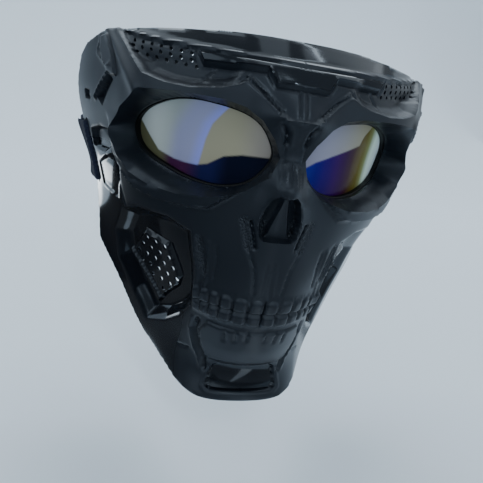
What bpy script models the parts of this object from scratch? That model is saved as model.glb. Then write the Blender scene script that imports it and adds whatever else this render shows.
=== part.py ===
"""A rigid full-face skull mask with mirrored goggle lenses and an elastic head strap.

The face looks along -Y and stands upright along +Z, and the origin lies in the head hollow, level with the eyes
and between the rear edges of the temples.

The face is one smooth skin, lofted through level sections, and carved along the skin's normals. A place on the
skin is (u, v): u counts along a level section from the centre line and v counts upwards from the eye line. Both
are shares: GIRTH_PARTS parts of u make the half girth at the eye line, and HEIGHT_PARTS parts of v make
FACE_HEIGHT. Tables hold the +X half, and the other half is its mirror image.
"""
import math

import bpy
import numpy as np
from mathutils import Vector
from mathutils.geometry import delaunay_2d_cdt

# Main sizes, in metres
FACE_HEIGHT = 0.200        # chin to the rim of the forehead
HALF_WIDTH = 0.100         # centre line to the rear edge at the cheeks
FACE_DEPTH = 0.100         # rear edge to the lips
WALL = 0.003               # shell thickness
FIT_GAP = 0.0003           # clearance between pieces that seat on each other

# Carving of the shell, in metres
RIDGE_RISE = 0.010         # nose bridge above the skin
BROW_RISE = 0.006          # outer end of the brow above the skin
SCALLOP_DEPTH = 0.003      # hollow of the forehead above the brow
CHEEK_RISE = 0.0042        # cheekbone above the skin
HOLLOW_DEPTH = 0.008       # hollow of the cheek below the skin
SOCKET_DEPTH = 0.0090      # outer end of the eye opening below the skin
SOCKET_INNER_DEPTH = 0.0034    # its inner end, beside the nose
EYE_MARGIN = 0.0018        # shell opening beyond the goggle frame's opening
NOSTRIL_DEPTH = 0.006
STRIP_RISE = 0.0012        # raised band across the forehead
PLATE_RISE = 0.0014        # plate of the lower jaw
CHIN_DEPTH = 0.0022        # sunk panel of the chin
GROOVE_DEPTH = 0.0025      # grooves beside the lower jaw
TOOTH_RISE = 0.0018
BITE_DEPTH = 0.0016        # line between the upper and the lower teeth
VENT_RISE = 0.0025         # pierced cheek panel above the floor of the hollow
LIP_RISE = 0.003           # bar along the lower edge of the pierced panel
TEMPLE_RISE = 0.0015       # raised plate of the temple
TEMPLE_SLOT_DEPTH = 0.0030
SIDE_STEP_DEPTH = 0.003    # step behind the cheekbone

# Holes, in metres
BROW_HOLE = 0.0019         # width of a forehead hole
VENT_HOLE = 0.0034         # width of a cheek hole
VENT_WALL = 0.0012         # shell thickness at the cheek holes
EYE_EDGE_WALL = 0.0016     # shell thickness at the eye opening

# Goggles, in metres
FRAME_WALL = 0.0018
FRAME_SLOPE = 0.0008       # fall of the frame from the shell to the lens
LENS_WALL = 0.0020
LENS_LAP = 0.0025          # lens edge covered by the frame
FRAME_LAP = 0.0045         # frame beyond the shell opening, behind the shell

# Strap, in metres
STRAP_WIDTH = 0.036
STRAP_THICK = 0.0016
STRAP_SLOT_WIDTH = 0.0032
STRAP_SLOT_SPARE = 0.0015  # slot beyond each edge of the strap
STRAP_LEVEL = -0.026       # strap's middle at the slots
STRAP_BACK_LEVEL = -0.010  # strap's middle behind the head
STRAP_BULGE = 0.121        # half width of the loop behind the rear edges
STRAP_REACH = 0.104        # back of the loop behind the origin

# Mesh spacing, in metres
SKIN_STEP = 0.0073
DETAIL_STEP = 0.0034
FRAME_STEP = 0.0055

GIRTH_PARTS = 153.0
HEIGHT_PARTS = 200.0
LEVEL = FACE_HEIGHT / HEIGHT_PARTS
LEVEL_STEP = 2.0           # parts of v between the measured sections
NORMAL_STEP = 0.6          # half span, in parts, over which the skin's slope is taken
FALL_STEP = 0.8            # half span, in parts, over which the carving's slope is taken

# Widths of the slopes beside carved features, in parts
HOLLOW_SLOPE = 11.0
BROW_SLOPE = 2.5
SCALLOP_SLOPE = 4.0
CHEEK_SLOPE = 2.0
STEP_SLOPE = 2.5
PANEL_SLOPE = 2.0
EDGE_SLOPE = 1.4           # plates, slots and the nose opening
BAND_SLOPE = 0.8           # band across the forehead
GROOVE_REACH = 2.6         # centre to side of a jaw groove
BITE_REACH = 1.1

# Level sections of the skin, bottom to top. Each half section is one cubic curve that leaves the centre line
# square to it: v in parts, then hundredths of FACE_DEPTH for the front, of HALF_WIDTH for the front pull, of
# HALF_WIDTH and FACE_DEPTH for the shoulder, and of HALF_WIDTH and FACE_DEPTH for the rear edge.
SECTION_COLUMNS = ("v", "front", "pull", "shoulder_x", "shoulder_y", "rear_x", "rear_y")
SECTIONS = (
    (-158, 88, 32, 38, 78, 50, 40),
    (-140, 84, 28, 36, 70, 62, 28),
    (-117, 94, 30, 42, 58, 78, 14),
    (-91, 102, 34, 48, 60, 96, 0),
    (-65, 104, 38, 65, 68, 98, 2),
    (-35, 104, 48, 89, 60, 99, 9),
    (-8, 106, 50, 95, 56, 107, 12),
    (12, 107, 52, 98, 56, 110, 18),
    (28, 105, 50, 96, 55, 108, 22),
    (44, 94, 47, 90, 50, 100, 36),
    (60, 80, 44, 84, 50, 96, 44),
)

# Outlines and lines on the skin, as (u, v) in parts
SHELL_EDGE = ((0, 44), (40, 43.6), (75, 42.2), (100, 40.3), (113, 39), (131, 34), (142, 27.5), (146, 16),
              (150, 3), (149.5, -9), (148, -40), (147, -65), (145, -87), (116, -117), (88, -146), (69, -152),
              (48, -156), (27, -157.5), (0, -157.5))
EYE_RIM = ((75.5, 13.5), (55, 14.2), (34, 13.6), (24, 11.5), (16, 7), (9.5, -0.5), (6, -8), (9, -17.5),
           (19, -26), (34, -30.5), (52, -32), (68, -31), (83, -27), (94, -18.5), (100, -6.5), (91.5, 4))
EYE_OPENING = ((10, -9), (13, -2), (18.5, 4), (27, 7.8), (40, 10), (53, 10.8), (65, 9.5), (77, 5.5), (88, 0),
               (95, -6.5), (93, -13.5), (83, -18), (69, -21.3), (55, -24.3), (41, -25.7), (30, -25),
               (20.5, -22), (14, -16.5))
BROW_TOP = ((-4, 3), (7, 10), (23.5, 23.5), (36, 19.5), (50, 17.8), (62, 18.5), (74, 21), (84, 29), (95, 39),
            (100, 60))
CHEEK_EDGE = ((6, -14), (14, -22), (24, -28.5), (35.5, -37.5), (50, -38.5), (66, -38), (80, -36), (90, -30),
              (98.5, -19.5), (103, -7), (110, 2), (118, 30))
HOLLOW = ((43, -50), (60, -45), (85, -46), (104, -52), (122, -72), (122, -94), (104, -116), (84, -134),
          (64, -124), (51, -113), (42, -100), (40.5, -75))
VENT_PANEL = ((62, -97), (59.5, -89), (67, -69), (91, -66.5), (108, -82), (110.5, -87), (77.5, -113.5),
              (72, -107))
VENT_LIP = ((112.5, -85.5), (114.5, -89.5), (80.5, -119), (75, -110.5), (77.5, -113.5))
NOSTRIL = ((0.9, -26.5), (3.4, -24), (6.5, -27), (9, -33), (10.2, -40), (9.4, -46), (7.2, -48.5), (5, -45.5),
           (3.2, -38), (1.6, -31))
FOREHEAD_STRIP = ((-9, 31.5), (49.5, 33), (46.5, 28.5), (16.5, 28.5), (12.5, 22.7), (-9, 22.5))
JAW_PLATE = ((-9, -104), (30, -103), (34.5, -113), (30.5, -124), (24, -131), (-9, -131))
CHIN_PANEL = ((-9, -133), (16, -133.2), (20, -135.5), (23.8, -150), (20.5, -152), (-9, -152))
JAW_GROOVE = ((37, -106), (38.5, -114), (33.5, -125), (27, -132), (24.5, -140))
TEMPLE_PLATE = ((103, 37.5), (98, 26), (94.5, 17), (101, 17.5), (104.5, 20), (110, 24), (113.5, 30), (112, 37))
TEMPLE_SLOT = ((97.5, 16), (103.5, 18.5), (117, 6.5), (111, 2.2))
SIDE_STEP = ((100, -9), (117, -8), (132, -11), (133, -22), (113, -23), (103, -18))

# Rise of the centre line (share of RIDGE_RISE) and its half width, by level
RIDGE_COLUMNS = ("v", "rise", "half_width")
RIDGE = ((-100, 0.0, 24), (-91, 0.0, 24), (-84, 0.12, 23), (-70, 0.3, 20), (-49, 0.42, 15), (-36, 0.75, 12),
         (-24, 1.05, 9), (-18, 0.95, 8.5), (-11, 0.42, 8), (-4, 0.25, 9), (4, 0.45, 11), (10, 0.75, 12),
         (20, 0.26, 13), (30, 0.0, 14), (60, 0.0, 14))
# Share of BROW_RISE along the brow
BROW_COLUMNS = ("u", "rise")
BROW = ((0, 0.2), (10, 0.45), (24, 0.35), (50, 0.75), (75, 1.0), (88, 0.6), (102, 0.2), (120, 0.0), (200, 0.0))
TOOTH_GAPS = (0, 8, 16.6, 24, 30.5, 36.5, 42)
TOOTH_LEVELS = (-79, -91, -101.5)    # root of the upper teeth, bite, root of the lower teeth

# Forehead holes: rows downwards and holes outwards from the first hole
BROW_HOLES_FIRST = (52.8, 31.9)
BROW_HOLES_ALONG = (5.6, 0.6)
BROW_HOLES_DOWN = (-1.0, -2.7)
BROW_HOLE_ROWS = 3
BROW_HOLE_COUNT = 7
BROW_HOLES_SHIFT = 0.3     # of every other row, in holes
# Cheek holes: columns towards the panel's bar, and holes upwards in each, as far as they lie on the panel
VENT_FIRST = (63.5, -92)
VENT_ACROSS = (6.5, -6.4)
VENT_UP = (2.5, 6.6)
VENT_COLUMNS = 5
VENT_ROWS = 7
VENT_MARGIN = 2.2          # centre of a hole to the panel's edge, in parts

STRAP_SLOT_PLACE = 139.0   # middle of the strap slot, in parts of u


def smooth_rows(rows, columns, at):
    """Smooth curve through a table's rows: the first column is the place, the others are returned by name."""
    table = np.array(rows, float)
    place, value = table[:, 0], table[:, 1:]
    at = np.clip(np.asarray(at, float), place[0], place[-1])
    low = np.clip(np.searchsorted(place, at) - 1, 0, len(place) - 2)
    before, after = np.maximum(low - 1, 0), np.minimum(low + 2, len(place) - 1)
    step = (place[low + 1] - place[low])[..., None]
    t = (at - place[low])[..., None] / step
    start = (value[low + 1] - value[before]) / (place[low + 1] - place[before])[..., None] * step
    end = (value[after] - value[low]) / (place[after] - place[low])[..., None] * step
    found = (value[low] * (2 * t**3 - 3 * t**2 + 1) + start * (t**3 - 2 * t**2 + t)
             + value[low + 1] * (3 * t**2 - 2 * t**3) + end * (t**3 - t**2))
    return {name: found[..., index] for index, name in enumerate(columns[1:])}


def ramp(value):
    """0 below 0, 1 above 1 and a smooth rise between."""
    t = np.clip(value, 0.0, 1.0)
    return t * t * (3 - 2 * t)


def section(share, v):
    """Point of the skin at a share (0 to 1) of the level section's curve, for the +X half."""
    row = smooth_rows(SECTIONS, SECTION_COLUMNS, v)
    t = np.abs(share)
    near, middle, far = 3 * t * (1 - t)**2, 3 * t**2 * (1 - t), t**3
    x = HALF_WIDTH * (near * row["pull"] + middle * row["shoulder_x"] + far * row["rear_x"]) / 100
    front = ((1 - t)**3 + near) * row["front"]
    y = FACE_DEPTH * (front + middle * row["shoulder_y"] + far * row["rear_y"]) / 100
    return np.stack([np.sign(share) * x, -y, LEVEL * np.asarray(v, float) + 0 * x], -1)


class Skin:
    """The smooth skin, with its sections measured once so that u follows their length."""

    def __init__(self):
        self.levels = np.arange(SECTIONS[0][0] - LEVEL_STEP, SECTIONS[-1][0] + LEVEL_STEP, LEVEL_STEP)
        self.shares = np.linspace(0, 1.2, 121)
        share, level = np.meshgrid(self.shares, self.levels)
        steps = np.linalg.norm(np.diff(section(share, level)[..., :2], axis=1), axis=-1)
        lengths = np.concatenate([np.zeros((len(self.levels), 1)), np.cumsum(steps, axis=1)], axis=1)
        eye_row = int(np.argmin(np.abs(self.levels)))
        self.part = np.interp(1.0, self.shares, lengths[eye_row]) / GIRTH_PARTS
        marks = np.arange(0, 190) * self.part
        self.table = np.array([np.interp(marks, row, self.shares) for row in lengths])

    def share(self, u, v):
        """Share of the section's curve that lies at u."""
        across = np.clip(np.abs(u), 0, self.table.shape[1] - 1.001)
        up = np.clip((v - self.levels[0]) / LEVEL_STEP, 0, len(self.levels) - 1.001)
        i, j = up.astype(int), across.astype(int)
        fi, fj = up - i, across - j
        low = self.table[i, j] * (1 - fj) + self.table[i, j + 1] * fj
        high = self.table[i + 1, j] * (1 - fj) + self.table[i + 1, j + 1] * fj
        return np.copysign(low * (1 - fi) + high * fi, u)

    def point(self, u, v):
        u, v = np.broadcast_arrays(np.asarray(u, float), np.asarray(v, float))
        return section(self.share(u, v), v)

    def normal(self, u, v):
        """Outward normal of the skin."""
        u, v = np.asarray(u, float), np.asarray(v, float)
        along = self.point(u + NORMAL_STEP, v) - self.point(u - NORMAL_STEP, v)
        upward = self.point(u, v + NORMAL_STEP) - self.point(u, v - NORMAL_STEP)
        normal = np.cross(along, upward)
        return normal / np.linalg.norm(normal, axis=-1, keepdims=True)

    def lifted(self, u, v, height):
        """Point at a height, in metres, above the skin."""
        return self.point(u, v) + self.normal(u, v) * np.asarray(height, float)[..., None]


SKIN = Skin()


def line_distance(u, v, points, closed=False):
    """Distance, in parts, from each place to a line of points."""
    points = np.array(points, float)
    ends = np.roll(points, -1, axis=0) if closed else points[1:]
    starts = points if closed else points[:-1]
    place = np.stack([u, v], -1)
    best = np.full(np.shape(u), 1e9)
    for start, end in zip(starts, ends):
        run = end - start
        t = np.clip(((place - start) @ run) / (run @ run), 0, 1)
        best = np.minimum(best, np.linalg.norm(place - start - t[..., None] * run, axis=-1))
    return best


def inside(u, v, outline):
    """Whether each place lies inside an outline."""
    points = np.array(outline, float)
    result = np.zeros(np.shape(u), bool)
    for (u0, v0), (u1, v1) in zip(points, np.roll(points, -1, axis=0)):
        if v0 == v1:
            continue
        crosses = ((v0 > v) != (v1 > v)) & (u < (u1 - u0) * (v - v0) / (v1 - v0) + u0)
        result ^= crosses
    return result


def depth_inside(u, v, outline):
    """Distance to an outline, in parts: positive inside it, negative outside."""
    distance = line_distance(u, v, outline, closed=True)
    return np.where(inside(u, v, outline), distance, -distance)


def smooth_loop(points, count):
    """Smooth closed line through the points, with a count of places from each point to the next."""
    points = np.array(points, float)
    before, after, beyond = np.roll(points, 1, 0), np.roll(points, -1, 0), np.roll(points, -2, 0)
    t = (np.arange(count) / count)[None, :, None]
    p0, p1, p2, p3 = (item[:, None, :] for item in (before, points, after, beyond))
    bend = (2 * p0 - 5 * p1 + 4 * p2 - p3) * t**2 + (3 * p1 - p0 - 3 * p2 + p3) * t**3
    return ((2 * p1 + (p2 - p0) * t + bend) / 2).reshape(-1, 2)


def eye_line(grow=0.0, count=2):
    """Outline of the goggle frame's opening, grown on all sides by a length in metres."""
    line = smooth_loop(EYE_OPENING, count)
    run = np.roll(line, -1, 0) - np.roll(line, 1, 0)
    out = np.stack([-run[:, 1], run[:, 0]], -1) / np.linalg.norm(run, axis=-1, keepdims=True)
    return line + out * grow / LEVEL


def above(line):
    """Outline of everything above a line that runs outwards."""
    return list(line) + [(line[-1][0], 300), (line[0][0], 300)]


def raised(u, v, outline, rise, slope):
    """A plateau with sloping sides: rise in metres, slope width in parts."""
    return rise * ramp(depth_inside(u, v, outline) / slope)


def brow_relief(u, v):
    rise = BROW_RISE * smooth_rows(BROW, BROW_COLUMNS, u)["rise"]
    over = depth_inside(u, v, above(BROW_TOP))
    below = ramp((1.0 - over) / BROW_SLOPE) * ramp((v + 18) / 20)
    dip = ramp(over / SCALLOP_SLOPE) * ramp((34 - v) / 9) * ramp((u - 26) / 8) * ramp((90 - u) / 12)
    return rise * below - SCALLOP_DEPTH * dip


def cheek_relief(u, v):
    band = ramp((depth_inside(u, v, above(CHEEK_EDGE)) + 0.5) / CHEEK_SLOPE)
    reach = ramp((u - 12) / 14) * ramp((112 - u) / 16) * ramp((2 - v) / 12)
    return CHEEK_RISE * band * reach


def teeth_relief(u, v):
    top, bite, bottom = TOOTH_LEVELS
    gaps = np.array(TOOTH_GAPS, float)
    low = np.clip(np.searchsorted(gaps, u, side="right") - 1, 0, len(gaps) - 2)
    phase = np.clip((u - gaps[low]) / (gaps[low + 1] - gaps[low]), 0, 1)
    crown = np.sqrt(np.clip(1 - (2 * phase - 1)**4, 0, 1))
    level = np.where(v > bite, (top - v) / (top - bite), (v - bottom) / (bite - bottom))
    row = ramp(level / 0.45) * ramp((gaps[-1] - u) / 1.5)
    groove = np.exp(-((v - bite) / BITE_REACH)**2) * ramp((gaps[-1] - u) / 3)
    return TOOTH_RISE * crown * row - BITE_DEPTH * groove


def vent_relief(u, v):
    hollow = -raised(u, v, HOLLOW, HOLLOW_DEPTH, HOLLOW_SLOPE)
    panel = raised(u, v, VENT_PANEL, VENT_RISE, PANEL_SLOPE)
    return hollow + panel + raised(u, v, VENT_LIP, LIP_RISE, EDGE_SLOPE)


def open_relief(u, v):
    """Height of the carved face above the skin, before the eye sockets are cut."""
    ridge = smooth_rows(RIDGE, RIDGE_COLUMNS, v)
    height = RIDGE_RISE * ridge["rise"] * np.exp(-(u / ridge["half_width"])**2)
    height = height + brow_relief(u, v) + cheek_relief(u, v) + vent_relief(u, v) + teeth_relief(u, v)
    height = height - raised(u, v, NOSTRIL, NOSTRIL_DEPTH, EDGE_SLOPE)
    height = height + raised(u, v, FOREHEAD_STRIP, STRIP_RISE, BAND_SLOPE)
    height = height + raised(u, v, JAW_PLATE, PLATE_RISE, EDGE_SLOPE)
    height = height - raised(u, v, CHIN_PANEL, CHIN_DEPTH, EDGE_SLOPE)
    height = height - GROOVE_DEPTH * ramp(1 - line_distance(u, v, JAW_GROOVE) / GROOVE_REACH)
    height = height + raised(u, v, TEMPLE_PLATE, TEMPLE_RISE, EDGE_SLOPE)
    height = height - raised(u, v, TEMPLE_SLOT, TEMPLE_SLOT_DEPTH, EDGE_SLOPE)
    return height - raised(u, v, SIDE_STEP, SIDE_STEP_DEPTH, STEP_SLOPE)


def socket_share(u, v):
    """0 at the rim of the eye socket and beyond, 1 at the eye opening."""
    within = np.maximum(depth_inside(u, v, EYE_RIM), 0)
    beyond = np.maximum(-depth_inside(u, v, eye_line(EYE_MARGIN)), 0)
    return within / np.maximum(within + beyond, 1e-6)


def opening_depth(u):
    """Depth of the shell's edge at the eye opening, below the skin: it sinks outwards."""
    inner, outer = EYE_OPENING[0][0], EYE_OPENING[9][0]
    share = np.clip((np.abs(u) - inner) / (outer - inner), 0, 1)
    return SOCKET_INNER_DEPTH + (SOCKET_DEPTH - SOCKET_INNER_DEPTH) * share


def relief(u, v):
    """Height of the outer face of the shell above the skin, in metres."""
    u = np.abs(np.asarray(u, float))
    v = np.asarray(v, float)
    share = socket_share(u, v)
    return open_relief(u, v) * (1 - share) - opening_depth(u) * share


def back_relief(u, v):
    """Height of the inner face of the shell: the wall is thicker along the normal where the face is steep."""
    u = np.abs(u)
    fall_u = (relief(u + FALL_STEP, v) - relief(u - FALL_STEP, v)) / (2 * FALL_STEP * SKIN.part)
    fall_v = (relief(u, v + FALL_STEP) - relief(u, v - FALL_STEP)) / (2 * FALL_STEP * LEVEL)
    steep = np.minimum(np.sqrt(1 + fall_u**2 + fall_v**2), 1.8)
    share = socket_share(u, v)
    wall = WALL * steep * (1 - share) + EYE_EDGE_WALL * share
    thin = raised(u, v, VENT_PANEL, 1.0, PANEL_SLOPE)
    wall = wall * (1 - thin) + VENT_WALL * thin
    return np.minimum(relief(u, v) - wall, RIDGE_RISE)


def resampled(points, step, closed=False):
    """Points about a step apart along a line, keeping its corners."""
    points = [tuple(map(float, point)) for point in points]
    ends = points[1:] + points[:1] if closed else points[1:]
    result = []
    for start, end in zip(points, ends):
        count = max(1, round(math.dist(start, end) / step))
        result += [tuple(np.array(start) + (np.array(end) - start) * k / count) for k in range(count)]
    return result if closed else result + [points[-1]]


def lattice(outline, step):
    """Staggered places inside an outline, a step apart."""
    points = np.array(outline, float)
    low, high = points.min(axis=0), points.max(axis=0)
    rise = step * math.sqrt(3) / 2
    rows = np.arange(low[1] + rise / 2, high[1], rise)
    across = np.arange(low[0], high[0], step)
    places = np.array([(u + (index % 2) * step / 2, v) for index, v in enumerate(rows) for u in across])
    return places[inside(places[:, 0], places[:, 1], outline)]


def triangulated(edge, holes, lines, step, details=(), detail_step=None):
    """Places and triangles of one half of a sheet, with its holes left open."""
    loops = [resampled(edge, step, closed=True)] + [list(map(tuple, hole)) for hole in holes]
    runs = [resampled(line, detail_step or step) for line in lines]
    fixed = [place for loop in loops + runs for place in loop]
    links = []
    start = 0
    for loop in loops:
        links += [(start + k, start + (k + 1) % len(loop)) for k in range(len(loop))]
        start += len(loop)
    for run in runs:
        links += [(start + k, start + k + 1) for k in range(len(run) - 1)]
        start += len(run)
    free = lattice(edge, step)
    for region in details:
        free = free[~inside(free[:, 0], free[:, 1], region)]
    fields = [(free, step)] + [(lattice(region, detail_step), detail_step) for region in details]
    fixed_array = np.array(fixed)
    kept = []
    for field, spacing in fields:
        gap = np.sqrt(((field[:, None, :] - fixed_array[None]) ** 2).sum(-1)).min(axis=1)
        kept.append(field[(gap > 0.55 * spacing) & (field[:, 0] > 0.3 * spacing)])
    places = fixed + [tuple(place) for field in kept for place in field]
    flat, _, faces, *_ = delaunay_2d_cdt([Vector(place) for place in places], links, [], 0, 1e-5, False)
    flat = np.array([tuple(place) for place in flat])
    faces = np.array([tuple(face) for face in faces])
    middle = flat[faces].mean(axis=1)
    keep = inside(middle[:, 0], middle[:, 1], edge)
    for hole in holes:
        keep &= ~inside(middle[:, 0], middle[:, 1], hole)
    faces = faces[keep]
    a, b, c = flat[faces[:, 0]], flat[faces[:, 1]], flat[faces[:, 2]]
    area = (b[:, 0] - a[:, 0]) * (c[:, 1] - a[:, 1]) - (b[:, 1] - a[:, 1]) * (c[:, 0] - a[:, 0])
    faces = np.where((area > 0)[:, None], faces, faces[:, ::-1])[np.abs(area) > 1e-5]
    used, index = np.unique(faces, return_inverse=True)
    flat = flat[used]
    flat[np.abs(flat[:, 0]) < 1e-3, 0] = 0
    return flat, index.reshape(-1, 3)


def mirrored(flat, faces):
    """Both halves of a sheet, joined along the centre line."""
    other = np.where(flat[:, 0] == 0, np.arange(len(flat)), -1)
    extra = np.flatnonzero(other < 0)
    other[extra] = len(flat) + np.arange(len(extra))
    both = np.concatenate([flat, flat[extra] * [-1, 1]])
    return both, np.concatenate([faces, other[faces][:, ::-1]])


def sheet_object(name, flat, faces, outer, inner, material):
    """A closed solid between two faces of a sheet, given as arrays of points."""
    count = len(flat)
    points = np.concatenate([outer, inner])
    solid = [tuple(face) for face in faces] + [tuple(face[::-1] + count) for face in faces]
    sides = {}
    for face in faces:
        for start, end in zip(face, np.roll(face, -1)):
            sides[(start, end)] = True
    for start, end in sides:
        if (end, start) not in sides:
            solid.append((end, start, start + count, end + count))
    return mesh_object(name, points, solid, material)


def mesh_object(name, points, faces, material):
    mesh = bpy.data.meshes.new(name)
    mesh.from_pydata([tuple(point) for point in points], [], [tuple(int(i) for i in face) for face in faces])
    mesh.validate()
    mesh.update()
    mesh.materials.append(material)
    item = bpy.data.objects.new(name, mesh)
    bpy.context.scene.collection.objects.link(item)
    return item


def plastic(name, colour, roughness, metallic=0.0):
    material = bpy.data.materials.new(name)
    material.use_nodes = True
    shader = material.node_tree.nodes["Principled BSDF"]
    shader.inputs["Base Color"].default_value = (*colour, 1.0)
    shader.inputs["Roughness"].default_value = roughness
    shader.inputs["Metallic"].default_value = metallic
    return material


def round_hole(centre, width, sides=6):
    """Outline of a small round hole, wide in metres, at a place in parts."""
    turn = np.arange(sides) * 2 * math.pi / sides
    return [(centre[0] + width / 2 / SKIN.part * math.cos(t), centre[1] + width / 2 / LEVEL * math.sin(t))
            for t in turn]


def pattern(first, along, next_row, count, rows, shift=0.0):
    """Places of a pattern of holes."""
    first, along, next_row = np.array(first, float), np.array(along, float), np.array(next_row, float)
    return [first + along * (k + shift * (row % 2)) + next_row * row for row in range(rows) for k in range(count)]


def strap_slot():
    """Outline of the slot that the strap is looped through, in parts."""
    half_u = STRAP_SLOT_WIDTH / 2 / SKIN.part
    half_v = (STRAP_WIDTH / 2 + STRAP_SLOT_SPARE) / LEVEL
    middle = STRAP_LEVEL / LEVEL
    low, high = STRAP_SLOT_PLACE - half_u, STRAP_SLOT_PLACE + half_u
    corners = ((low, middle - half_v), (high, middle - half_v), (high, middle + half_v), (low, middle + half_v))
    return resampled(corners, SKIN_STEP / LEVEL, closed=True)


def build_shell(material):
    holes = [eye_line(EYE_MARGIN), strap_slot()]
    brow = pattern(BROW_HOLES_FIRST, BROW_HOLES_ALONG, BROW_HOLES_DOWN, BROW_HOLE_COUNT, BROW_HOLE_ROWS,
                   BROW_HOLES_SHIFT)
    vents = pattern(VENT_FIRST, VENT_ACROSS, VENT_UP, VENT_COLUMNS, VENT_ROWS)
    vents = [place for place in vents if depth_inside(place[0], place[1], VENT_PANEL) > VENT_MARGIN]
    holes += [round_hole(place, BROW_HOLE) for place in brow] + [round_hole(place, VENT_HOLE) for place in vents]
    lines = [EYE_RIM + EYE_RIM[:1], BROW_TOP[2:8], CHEEK_EDGE[2:9], VENT_LIP + VENT_LIP[:1], JAW_GROOVE,
             FOREHEAD_STRIP[1:5], CHIN_PANEL[1:5]]
    top, _, bottom = TOOTH_LEVELS
    teeth = ((0.1, top), (TOOTH_GAPS[-1], top), (TOOTH_GAPS[-1], bottom), (0.1, bottom))
    nose = ((0.1, -16), (13, -16), (13, -50), (0.1, -50))
    flat, faces = triangulated(SHELL_EDGE, holes, lines, SKIN_STEP / LEVEL, (teeth, nose), DETAIL_STEP / LEVEL)
    flat, faces = mirrored(flat, faces)
    u, v = flat[:, 0], flat[:, 1]
    outer = SKIN.lifted(u, v, relief(u, v))
    inner = SKIN.lifted(u, v, back_relief(u, v))
    return sheet_object("mask_shell", flat, faces, outer, inner, material)


def frame_front(u, v):
    """Height of the frame's front face: close behind the shell's edge, and falling a little to the lens."""
    seat = -opening_depth(u) - EYE_EDGE_WALL - FIT_GAP
    within = ramp(depth_inside(np.abs(u), v, eye_line(EYE_MARGIN)) * LEVEL / EYE_MARGIN)
    return seat - FRAME_SLOPE * within


def frame_back(u):
    """Height of the frame's back face."""
    return -opening_depth(u) - EYE_EDGE_WALL - FIT_GAP - FRAME_SLOPE - FRAME_WALL


def frame_edge():
    """Outline of the +X half of the frame: round the opening, and over the nose to the centre line."""
    line = eye_line(EYE_MARGIN + FRAME_LAP, 1)
    line = [tuple(place) for place in line if place[0] > EYE_OPENING[2][0]]
    return [(0.0, line[0][1] - 5)] + line + [(0.0, line[-1][1] + 11)]


def build_frame(material):
    opening = [tuple(place) for place in eye_line()]
    seat_line = [tuple(place) for place in eye_line(EYE_MARGIN)]
    flat, faces = triangulated(frame_edge(), [opening], [seat_line + seat_line[:1]], FRAME_STEP / LEVEL)
    flat, faces = mirrored(flat, faces)
    u, v = flat[:, 0], flat[:, 1]
    outer = SKIN.lifted(u, v, frame_front(u, v))
    inner = SKIN.lifted(u, v, frame_back(u))
    return sheet_object("goggle_frame", flat, faces, outer, inner, material)


def build_lens(name, side, material):
    outline = [tuple(place) for place in eye_line(LENS_LAP)]
    flat, faces = triangulated(outline, [], [], FRAME_STEP / LEVEL)
    flat = flat * [side, 1]
    if side < 0:
        faces = faces[:, ::-1]
    u, v = flat[:, 0], flat[:, 1]
    front = frame_back(u) - FIT_GAP
    outer, inner = SKIN.lifted(u, v, front), SKIN.lifted(u, v, front - LENS_WALL)
    return sheet_object(name, flat, faces, outer, inner, material)


def strap_route(rise):
    """Middle line of the strap at a height above its centre line, from its folded left end to the right one."""
    clear = FIT_GAP * 2 + STRAP_THICK / 2
    out, back = clear, -WALL - clear
    bend = STRAP_SLOT_PLACE
    level = (STRAP_LEVEL + rise) / LEVEL
    layer = STRAP_THICK + FIT_GAP * 1.5
    held = ((bend + 21, out + layer * 0.35), (bend + 15, out + layer * 0.3), (bend + 10, out), (bend + 5, out),
            (bend + 1.8, out), (bend + 0.6, out - 0.0003), (bend, out - 0.0012), (bend, -WALL / 2),
            (bend, back + 0.0012), (bend + 0.6, back + 0.0003), (bend + 1.8, back), (bend + 6, back),
            (bend + 11, back), (bend + 15, back + 0.0009), (bend + 20, out - layer * 0.8),
            (bend + 24, out - layer * 0.72))
    u, height = np.array(held).T
    near = SKIN.lifted(u, np.full(len(u), level), height)
    leave = near[-1] - near[-2]
    leave = leave / np.linalg.norm(leave)
    start, pull = near[-1], near[-1] + leave * 0.035
    shoulder = np.array([STRAP_BULGE * 0.72, STRAP_REACH, STRAP_BACK_LEVEL + rise])
    last = np.array([0.0, STRAP_REACH, STRAP_BACK_LEVEL + rise])
    wide = np.array([STRAP_BULGE, pull[1] + 0.025, pull[2]])
    t = np.linspace(0, 1, 26)[1:, None]
    far = ((1 - t)**4 * start + 4 * t * (1 - t)**3 * pull + 6 * t**2 * (1 - t)**2 * wide
           + 4 * t**3 * (1 - t) * shoulder + t**4 * last)
    half = np.concatenate([near, far])
    other = half[:-1][::-1] * [-1, 1, 1]
    return np.concatenate([half, other])


def build_strap(material):
    rows = 5
    rises = np.linspace(-STRAP_WIDTH / 2, STRAP_WIDTH / 2, rows)
    middle = np.stack([strap_route(rise) for rise in rises], axis=1)
    along = np.gradient(middle, axis=0)
    across = np.gradient(middle, axis=1)
    normal = np.cross(along, across)
    normal /= np.linalg.norm(normal, axis=-1, keepdims=True)
    stations = len(middle)
    flat = [(i, j) for i in range(stations) for j in range(rows)]
    faces = []
    for i in range(stations - 1):
        for j in range(rows - 1):
            corner = i * rows + j
            faces += [(corner, corner + rows, corner + rows + 1), (corner, corner + rows + 1, corner + 1)]
    outer = (middle + normal * STRAP_THICK / 2).reshape(-1, 3)
    inner = (middle - normal * STRAP_THICK / 2).reshape(-1, 3)
    return sheet_object("strap", np.array(flat), np.array(faces), outer, inner, material)


def clear_scene():
    for item in list(bpy.data.objects):
        bpy.data.objects.remove(item, do_unlink=True)


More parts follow.
